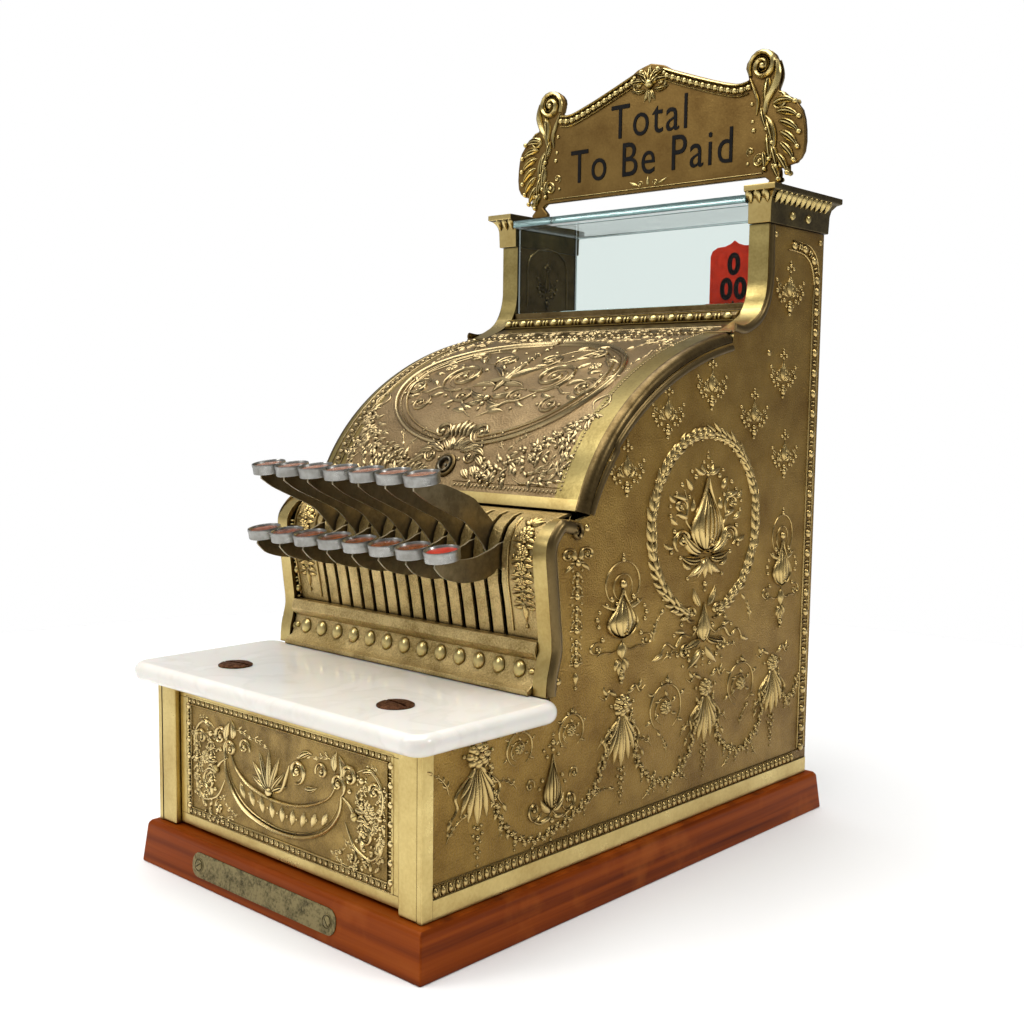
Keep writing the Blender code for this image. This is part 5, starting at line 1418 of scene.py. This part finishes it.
class BRASSREGISTER_OT_keyplate(bpy.types.Operator):
    """Make the moulding over the marble and the slotted plate that the keys come through"""
    bl_idname = "brassregister.keyplate"
    bl_label = "Key Plate"

    def execute(self, context):
        moulding = carried("base_moulding", 0.0006, 3)
        settle(dress(moulding, "stipple"), "oval_moulding", "case", "cast_brass", "base_moulding")
        sheet = Ornament()
        for step in range(13):
            u = (step - 6) * 16.2
            sheet.bead(u, 0.6, 4.6, 2.2, stretch=1.14, turn=90, sides=16)
        for side in (-1, 1):
            sheet.petal(side * 104, 0.5, 90 - side * 90, 6, 4)
        tilted = on_flat((0, -0.0931, 0.1430), (1, 0, 0), (0, 0.22, 0.975), (0, -0.975, 0.22))
        laid(sheet, "moulding_ovals", tilted, "case", "cast_brass", "band")

        slotted = carried("key_plate", 0.0003, 1)
        settle(dress(slotted, "stipple"), "slotted_key_plate", "case", "cast_brass", "key_plate")
        drops = Ornament()
        for side in (-1, 1):
            drop = drops.at(side * 98.5, 0)
            for v, size in ((66, 6.0), (55, 5.0), (46, 4.2), (37.5, 3.6), (30, 3.0)):
                drop.at(0, v).rosette(size)
                for half in drop.halves(0, v - 4):
                    half.petal(1, 0, 30, 8, 3.2, bend=-60)
                    half.petal(1, -2, -30, 8, 3.2, bend=40)
                    half.bead(size + 1.5, 2, 1.0)
            for turn in (90, 60, 120, 30, 150):
                drop.petal(0, 72, turn, 9, 4)
            drop.petal(0, 26, -90, 12, 4)
            drop.bead(0, 12, 1.4)
            for u in (-11.0, 11.0):
                drop.line([(u, v) for v in range(8, 79, 5)], 1.0, 0.8, thin=1)
        path = smooth_path([(-0.0864, 0.1560), (-0.0868, 0.1610), (-0.0895, 0.1776), (-0.0926, 0.1925),
                            (-0.0930, 0.2070), (-0.0917, 0.2160), (-0.0875, 0.2240), (-0.0800, 0.2296)], 4)
        face = along_profile([(y - 0.0002, z) for y, z in path])
        laid(drops, "key_plate_flowers", face, "case", "cast_brass", "panel_relief")
        return {"FINISHED"}


class BRASSREGISTER_OT_keys(bpy.types.Operator):
    """Make the fifteen key levers with their nickel rings"""
    bl_idname = "brassregister.keys"
    bl_label = "Keys"

    def execute(self, context):
        reach, half = settings().cap_reach, CAP_HEIGHT / 2
        section = [(0, -half), (reach * 0.91, -half), (reach * 0.965, -half * 0.90), (reach * 0.975, -half * 0.7),
                   (reach * 0.975, half * 0.35), (reach, half * 0.50), (reach, half * 0.88),
                   (reach * 0.985, half), (reach * 0.93, half), (reach * 0.90, half * 0.86),
                   (reach * 0.86, half * 0.55), (0, half * 0.55)]
        disc = [(0, half * 0.50), (reach * 0.85, half * 0.50), (reach * 0.85, half * 0.60),
                (reach * 0.60, half * 0.68), (0, half * 0.71)]
        models = {}
        for row, cap, top, under in (("lower", LOWER_CAP, LOWER_TOP, LOWER_UNDER),
                                     ("upper", UPPER_CAP, UPPER_TOP, UPPER_UNDER)):
            outline = smooth_path(top, 3) + BLADE_TAIL + smooth_path(under, 3)
            blade = plate(outline, "X", -BLADE / 2, BLADE / 2, 0.00018, 1)
            dress(blade, "blade", "blade_edge", "nickel", "paper")
            paint_where(blade, 1, lambda centre, normal: abs(normal.x) < 0.5)
            hub = turned([(0.0044, -0.003), (0.0075, -0.003), (0.0075, 0.003), (0.0044, 0.003)],
                         facing((0, *PIVOT), (1, 0, 0)), 24)
            stand = Matrix.Translation((0, *cap)) @ Matrix.Rotation(CAP_TILT, 4, "X")
            ring, paper = turned(section, stand), turned(disc, stand)
            for part, slot in ((hub, "blade"), (ring, "nickel"), (paper, "paper")):
                dress(part, slot)
            models[row] = joined([blade, hub, ring, paper], f"{row}_key")
        papers = ("paper", "pale_paper") * 7 + ("red_paper",)
        for index in range(KEY_COUNT):
            model = models["lower" if index % 2 == 0 else "upper"]
            key = bpy.data.objects.new("key", model.data.copy())
            bpy.context.scene.collection.objects.link(key)
            key.data.transform(Matrix.Translation((key_x(index), 0, 0)))
            for place, finish in enumerate(key.data.materials):
                if finish == FINISHES["paper"]:
                    key.data.materials[place] = FINISHES[papers[index]]
            number = f"{index + 1:02d}"
            settle(key, f"key_{number}_fine", f"key_{number}", "dark_steel", f"key_lever_{number}")
        for model in models.values():
            bpy.data.objects.remove(model, do_unlink=True)
        recoat("key_shaft", "steel")
        return {"FINISHED"}


class BRASSREGISTER_OT_lid(bpy.types.Operator):
    """Make the curved lid with its rolled edges, ornament, lock and hinge rod"""
    bl_idname = "brassregister.lid"
    bl_label = "Curved Lid"

    def execute(self, context):
        across, up = 40, 56
        bend, lip = 7, LID_LIP - LID_ROLL
        flat = CASE - LID_ROLL
        columns = [(flat * (2 * step / (across - 2 * bend) - 1), 0.0) for step in range(across - 2 * bend + 1)]
        corner = [(flat + LID_ROLL * math.sin(a), -LID_ROLL * (1 - math.cos(a)))
                  for a in (math.pi / 2 * step / (bend - 1) for step in range(1, bend))]
        corner.append((CASE, -LID_ROLL - lip))
        columns = [(-x, drop) for x, drop in reversed(corner)] + columns + corner
        bpy.ops.object.select_all(action="DESELECT")
        bpy.ops.mesh.primitive_grid_add(x_subdivisions=len(columns) - 1, y_subdivisions=up)
        lid = bpy.context.object
        runs = len(columns)
        for index, corner in enumerate(lid.data.vertices):
            x, drop = columns[index % runs]
            height = LID_LENGTH * (index // runs) / up
            corner.co = ON_LID(np.array([x]), np.array([height]), np.array([drop]))[0]
        outward(lid)
        if sum(face.normal.z * face.area for face in lid.data.polygons) < 0:
            lid.data.flip_normals()
        add_modifier(lid, "SOLIDIFY", thickness=LID_WALL, offset=-1.0, use_even_offset=True)
        apply_all(lid)
        eased(lid, 0.0005, 2, 50)
        dress(lid, "lid", "band", "edge", "lid_band")
        foot = lid_curve(400)[18][1]
        paint_where(lid, 1, lambda centre, normal: centre.z < foot)
        paint_where(lid, 3, lambda centre, normal: centre.z >= foot and LID_BAND < abs(centre.x) < flat)
        # the lid's rolled sides take the dark edge finish: painted shade
        paint_where(lid, 2, lambda centre, normal: abs(centre.x) > flat - 0.0006)
        settle(lid, "curved_lid", "lid_leaf", "lid_brass", "lid")
        laid(lid_sheet(), "lid_ornament", ON_LID, "lid_leaf", "lid_brass", "lid_relief", tallest=2.6)

        middle, normal = self.lock_place()
        stand = facing(middle, normal)
        rose = turned([(0.0059, 0.0), (0.0084, 0.0), (0.0081, 0.0010), (0.0072, 0.0015), (0.0062, 0.0014)], stand, 36)
        settle(dress(rose, "edge"), "lock_rose", "lid_leaf", "lid_brass")
        barrel = turned([(0, -0.008), (0.0055, -0.008), (0.0055, 0.0020), (0.0051, 0.0026), (0.0046, 0.0027),
                         (0.0041, 0.0022), (0.0039, -0.0040), (0.0010, -0.0040), (0.0009, 0.0010), (0, 0.0011)],
                        stand, 32)
        settle(dress(barrel, "lock"), "lock_tube", "lock_barrel", "dark_steel", "lid_lock")
        recoat("lid_hinge_rod", "edge")
        return {"FINISHED"}

    @staticmethod
    def lock_place():
        """Middle of the lock on the lid, and the lid's outward direction there."""
        y = -0.0578
        across = (y - LID_CENTRE[0]) / LID_RADII[0]
        z = LID_CENTRE[1] + LID_RADII[1] * math.sqrt(1 - across * across)
        normal = Vector((0, across / LID_RADII[0], (z - LID_CENTRE[1]) / LID_RADII[1] ** 2)).normalized()
        return Vector((0, y, z)), normal


class BRASSREGISTER_OT_window(bpy.types.Operator):
    """Make the window's sill, glasses, capitals and inner panels"""
    bl_idname = "brassregister.window"
    bl_label = "Window and Capitals"

    def execute(self, context):
        sill = carried("window_sill", 0.0004)
        settle(dress(sill, "edge"), "sill_casting", "case", "cast_brass", "window_sill")
        row = Ornament()
        row.bead_and_reel([(-103, 0), (103, 0)], 5.0)
        for v in (-3.6, 3.8):
            row.line([(-104.5, v), (104.5, v)], 0.9, 0.8, thin=1)
        riser = on_flat((0, 0.1097, 0.3553), (1, 0, 0), (0, 0.515, 0.857), (0, -0.857, 0.515))
        laid(row, "sill_beads", riser, "case", "cast_brass", "band")
        scrolls = Ornament()
        for half in scrolls.halves():
            for u in (8, 34, 60, 86):
                half.volute(u, 0, 3.6, 200, -400, 1.2)
                half.volute(u + 12, 0, 3.2, -20, 400, 1.1)
                half.petal(u + 3, 2, 10, 8, 3, bend=-40)
                half.petal(u + 9, -2, 190, 8, 3, bend=-40)
                half.bead(u + 6, 0, 1.3, sides=6)
        scrolls.rosette(5)
        for v in (-5.2, 5.2):
            scrolls.line([(-104, v), (104, v)], 0.9, 0.7, thin=1)
        slope = on_flat((0, 0.0893, 0.3450), (1, 0, 0), (0, 0.936, 0.352), (0, -0.352, 0.936))
        laid(scrolls, "sill_scrolls", slope, "case", "cast_brass", "lid_relief")

        for name, axis in (("front_glass", 1), ("rear_glass", 1), ("top_glass", 2)):
            pane = carried(name, 0.0003, 1)
            dress(pane, "glass", "glass_edge")
            paint_where(pane, 1, lambda centre, normal: abs(normal[axis]) < 0.9)
            settle(pane, f"{name}_pane", "case", "sheet_glass", name)

        for name, side in (("right", 1), ("left", -1)):
            capital = carried(f"capital_{name}", 0.0005, 2, 12)
            dress(capital, "dark_cap", "band")
            # faces pointing forward or up take the bright brass and the rest the darker copy: painted light and shade
            # by facing
            paint_where(capital, 1, lambda centre, normal: normal.y < -0.4 or normal.z > 0.6)
            settle(capital, f"capital_{name}_fine", "case", "bright_brass", f"capital_{name}")
            tongues = Ornament()
            for step in range(11):
                tongues.petal(-33 + step * 6.6, 0.6, -90, 10.0, 5.4, belly=0.36, rise=1.5, rows=6)
            place = on_flat((side * (CASE + 0.0080), 0.1562, 0.4372), (0, 1, 0), (side * 0.55, 0, 0.835),
                            (side * 0.835, 0, -0.55))
            laid(tongues, f"capital_tongues_{name}", place, "case", "bright_brass", "band")
            few = Ornament()
            for step in (-1, 0, 1):
                few.petal(step * 6.4, 0.6, -90, 10.0, 5.2, belly=0.36, rise=1.5, rows=6)
            place = on_flat((side * (WINDOW + CASE) / 2 + side * 0.0012, 0.1139, 0.4372), (1, 0, 0),
                            (0, -0.55, 0.835), (0, -0.835, -0.55))
            laid(few, f"capital_front_{name}", place, "case", "bright_brass", "band")
            rivets = Ornament()
            for u in (147, 168):
                rivets.bead(u, 423.5, 3.0, 1.8, sides=14)
            place = on_flat((side * (CASE + 0.0024), 0, 0), (0, 1, 0), (0, 0, 1), (side, 0, 0))
            laid(rivets, f"capital_rivets_{name}", place, "case", "bright_brass", "band")
            panel = Ornament()
            panel.line([(134, 372), (134, 402), (137, 410), (146, 416), (158, 418), (170, 416), (179, 410),
                        (182, 402), (182, 372)], 1.4, 1.0, thin=1)
            panel.at(158, 388, 1.15).fleur()
            place = on_flat((side * WINDOW, 0, 0), (0, 1, 0), (0, 0, 1), (-side, 0, 0))
            laid(panel, f"post_panel_{name}", place, "case", "cast_brass", "edge")
        return {"FINISHED"}


class BRASSREGISTER_OT_sign(bpy.types.Operator):
    """Make the top sign with its ornament and dark filled letters"""
    bl_idname = "brassregister.sign"
    bl_label = "Top Sign"

    def execute(self, context):
        board = carried("marquee_sign", 0.0008, 3)
        settle(dress(board, "sign"), "sign_board", "case", "sign_brass", "marquee_sign")
        for name, place in (("front", on_flat((0, SIGN_LOW.y, 0), (1, 0, 0), (0, 0, 1), (0, -1, 0))),
                            ("rear", on_flat((0, SIGN_HIGH.y, 0), (-1, 0, 0), (0, 0, 1), (0, 1, 0)))):
            laid(sign_sheet(), f"sign_ornament_{name}", place, "case", "sign_brass", "band")
        size = settings().letter_size
        for name, words, height in (("upper", settings().upper_line, 0.5040),
                                    ("lower", settings().lower_line, 0.4756)):
            stand = Matrix.Translation((0, SIGN_LOW.y - LETTER_PROUD, height)) @ UPRIGHT
            letters = lettering(words, size, 0.0003, stand, 0.84, 1.12, 0.003)
            settle(dress(letters, "ink"), f"sign_letters_{name}", "case", "sign_brass")
        return {"FINISHED"}


class BRASSREGISTER_OT_flags(bpy.types.Operator):
    """Make the price flags, with the last one standing in the window"""
    bl_idname = "brassregister.flags"
    bl_label = "Price Flags"

    def execute(self, context):
        figures = ("1", "2", "3", "4", "5", "6", "7", "8", "9", "10", "20", "30", "40", "50", "0")
        for index in range(KEY_COUNT):
            number = f"{index + 1:02d}"
            standing = index == KEY_COUNT - 1
            flag = carried(f"flag_{number}", 0.0002, 1)
            dress(flag, "red" if standing else "cream", "steel")
            low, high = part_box(f"flag_{number}")
            middle, foot = (low.x + high.x) / 2, high.z - FLAG_FACE
            paint_where(flag, 1, lambda centre, normal: centre.z < foot)
            settle(flag, f"price_{number}_flag", f"price_{number}", "red_enamel" if standing else "cream_enamel",
                   f"flag_{number}")
            face = (low.y + high.y) / 2 - 0.0005
            lines = (("0", 0.0200, 0.0285), ("00", 0.0200, 0.0115)) if standing else ((figures[index], 0.030, 0.020),)
            parts = []
            for words, size, height in lines:
                stand = Matrix.Translation((middle, face - LETTER_PROUD, foot + height)) @ UPRIGHT
                parts.append(lettering(words, size, 0.00012, stand, 1.0, 1.14, -0.045))
            figure = joined(parts, "figure")
            settle(dress(figure, "ink"), f"price_{number}_figure", f"price_{number}",
                   "red_enamel" if standing else "cream_enamel")
        return {"FINISHED"}


class BRASSREGISTER_OT_drawer(bpy.types.Operator):
    """Make the drawer's front with its ornament, and finish the till behind it"""
    bl_idname = "brassregister.drawer"
    bl_label = "Cash Drawer"

    def execute(self, context):
        front = carried("drawer_front", 0.0008, 3)
        settle(dress(front, "drawer"), "drawer_casting", "drawer", "cast_brass", "drawer_front")
        face = on_flat((0, DRAWER_LOW.y, 0), (1, 0, 0), (0, 0, 1), (0, -1, 0))
        laid(drawer_sheet(), "drawer_ornament", face, "drawer", "cast_brass", "drawer_relief")
        strips = []
        low, high = DRAWER_LOW, DRAWER_HIGH
        wide, tall = 0.0088, 0.0068
        for x0, z0, x1, z1 in ((low.x, low.z, high.x, low.z + tall), (low.x, high.z - tall, high.x, high.z),
                               (low.x, low.z + tall, low.x + wide, high.z - tall),
                               (high.x - wide, low.z + tall, high.x, high.z - tall)):
            strips.append(block((x0, low.y - 0.0007, z0), (x1, low.y + 0.0004, z1), 0.0004))
        border = joined(strips, "border")
        settle(dress(border, "band"), "drawer_border", "drawer", "cast_brass")
        for name, side in (("left", -1), ("right", 1)):
            head = screw_head(0.0026, 0.0016, facing((side * 0.0645, low.y - 0.0004, 0.071), (0, -1, 0)), 30 * side)
            settle(dress(head, "band"), f"drawer_screw_{name}", "drawer", "cast_brass")
        till = carried("drawer_box", 0.0006)
        settle(dress(till, "till"), "wooden_till", "drawer", "till_wood", "drawer_box")
        return {"FINISHED"}


class BRASSREGISTER_OT_mechanism(bpy.types.Operator):
    """Finish the inner frame, flag guide, bell, hammer and drawer latch"""
    bl_idname = "brassregister.mechanism"
    bl_label = "Mechanism"

    def execute(self, context):
        for node, finish in (("inner_frame", "steel"), ("flag_guide", "steel"), ("bell_hammer", "steel"),
                             ("drawer_latch", "steel")):
            recoat(node, finish)
        low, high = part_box("bell")
        radius, rise, wall, stem_radius = (high.x - low.x) / 2, 0.0166, 0.0015, 0.0022
        brim = high.z - rise
        arc = [math.radians(90 * step / 14) for step in range(15)]
        outer = [(radius * math.sin(a), brim + rise * math.cos(a)) for a in arc]
        inner = [((radius - wall) * math.sin(a), brim + (rise - wall) * math.cos(a)) for a in reversed(arc[2:])]
        rim = [(radius, outer[-1][1] - 0.0014), (radius - wall, outer[-1][1] - 0.0014)]
        stem = [(stem_radius, inner[-1][1] + 0.0004), (stem_radius, low.z), (0, low.z)]
        centre = Matrix.Translation((0, (low.y + high.y) / 2, 0))
        bell = turned(outer + rim + inner + stem, centre, 64)
        settle(dress(bell, "bell"), "spun_bell", "case", "bell_metal", "bell")
        return {"FINISHED"}


class BRASSREGISTER_OT_stage(bpy.types.Operator):
    """Set the pale floor, the soft lights and the camera"""
    bl_idname = "brassregister.stage"
    bl_label = "Studio Stage"

    def execute(self, context):
        scene = context.scene
        bpy.ops.object.select_all(action="DESELECT")
        bpy.ops.mesh.primitive_circle_add(vertices=96, radius=0.95, fill_type="NGON")
        floor = context.object
        floor.name = floor.data.name = "studio_floor"
        material, _, shader, _ = new_finish("matt_pale_floor")
        fill(shader, {"Base Color": (*settings().floor_colour, 1), "Roughness": 0.9})
        floor.data.materials.append(material)

        # a white room whose light comes mostly from the front left
        world = bpy.data.worlds.new("studio")
        scene.world = world
        world.use_nodes = True
        tree = world.node_tree
        direction = add_node(tree, "TexCoord").outputs["Generated"]
        toward = add_node(tree, "VectorMath", {0: direction, 1: (-0.65, -0.76, 0.0)}, operation="DOT_PRODUCT")
        side = add_node(tree, "MapRange", {"Value": toward.outputs["Value"], "From Min": -0.30, "From Max": 0.80,
                                           "To Min": 0.44, "To Max": 1.0}, interpolation_type="SMOOTHSTEP")
        height = add_node(tree, "SeparateXYZ", {0: direction})
        level = add_node(tree, "MapRange", {"Value": height.outputs["Z"], "From Min": -1.0, "From Max": 1.0})
        bands = add_node(tree, "ValToRGB", {"Fac": level.outputs[0]},
                         stops=[(0.47, grey(0.95)), (0.545, grey(0.66)), (0.61, grey(0.32)), (0.78, grey(0.30)),
                                (0.92, grey(0.62))])
        glow = add_node(tree, "Math", {0: bands.outputs["Color"], 1: side.outputs[0]}, operation="MULTIPLY")
        rays = add_node(tree, "LightPath").outputs
        bounced = add_node(tree, "Math", {0: rays["Diffuse Depth"], 1: rays["Glossy Depth"]}, operation="ADD")
        through = add_node(tree, "Math", {0: rays["Is Transmission Ray"], 1: bounced.outputs[0]},
                           operation="GREATER_THAN")
        seen = add_node(tree, "Math", {0: rays["Is Camera Ray"], 1: through.outputs[0]}, operation="MAXIMUM")
        strength = add_node(tree, "Mix", {"Factor": seen.outputs[0], 2: glow.outputs[0], 3: 1.0})
        backdrop = tree.nodes["Background"]
        backdrop.inputs["Color"].default_value = hex_colour("#FFFFFF")
        tree.links.new(strength.outputs[0], backdrop.inputs["Strength"])

        aim = Vector((0, 0, 0.20))
        for name, place, size, power in (("top_softbox", (-0.1, -0.2, 2.3), 2.3, 70),
                                         ("front_softbox", (-1.3, -1.9, 1.7), 0.7, 12),
                                         ("rim_softbox", (1.9, 0.6, 1.5), 0.5, 9)):
            lamp = bpy.data.lights.new(name, "AREA")
            lamp.shape, lamp.size, lamp.energy = "SQUARE", size, power
            holder = bpy.data.objects.new(name, lamp)
            holder.location = place
            holder.rotation_euler = (aim - Vector(place)).to_track_quat("-Z", "Y").to_euler()
            scene.collection.objects.link(holder)

        lens = bpy.data.cameras.new("camera")
        camera = bpy.data.objects.new("camera", lens)
        scene.collection.objects.link(camera)
        turn = Vector((1.5858, 0.6206, -0.5389))
        world_to_view = Matrix.Rotation(turn.length, 3, turn.normalized())
        facing_out = world_to_view.transposed() @ Matrix.Diagonal((1, -1, -1))
        camera.matrix_world = Matrix.Translation((0.5782, -0.6231, 0.2952)) @ facing_out.to_4x4()
        lens.sensor_width, lens.lens = 36, 44.635
        lens.shift_x, lens.shift_y = -0.0153, 0.0220
        scene.camera = camera
        scene.view_settings.view_transform = "Standard"
        return {"FINISHED"}


class BRASSREGISTER_PT_panel(bpy.types.Panel):
    """The register's settings and the makers of its pieces"""
    bl_idname = "BRASSREGISTER_PT_panel"
    bl_label = "Cash Register"
    bl_space_type = "VIEW_3D"
    bl_region_type = "UI"
    bl_category = "Cash Register"

    def draw(self, context):
        for name in RegisterSettings.__annotations__:
            self.layout.prop(context.scene.brass_register, name)
        for operator in OPERATORS:
            self.layout.operator(operator.bl_idname)


OPERATORS = (BRASSREGISTER_OT_base, BRASSREGISTER_OT_cabinet, BRASSREGISTER_OT_columns, BRASSREGISTER_OT_shelf,
             BRASSREGISTER_OT_keyplate, BRASSREGISTER_OT_keys, BRASSREGISTER_OT_lid, BRASSREGISTER_OT_window,
             BRASSREGISTER_OT_sign, BRASSREGISTER_OT_flags, BRASSREGISTER_OT_drawer, BRASSREGISTER_OT_mechanism,
             BRASSREGISTER_OT_stage)
CLASSES = (RegisterSettings, *OPERATORS, BRASSREGISTER_PT_panel)


def register():
    for item in CLASSES:
        bpy.utils.register_class(item)
    bpy.types.Scene.brass_register = PointerProperty(type=RegisterSettings)


def unregister():
    del bpy.types.Scene.brass_register
    for item in reversed(CLASSES):
        bpy.utils.unregister_class(item)


def main():
    register()
    random.seed(7)
    FINISHES.update(make_finishes())
    for operator in OPERATORS:
        family, name = operator.bl_idname.split(".")
        getattr(getattr(bpy.ops, family), name)()


if __name__ == "__main__":
    main()
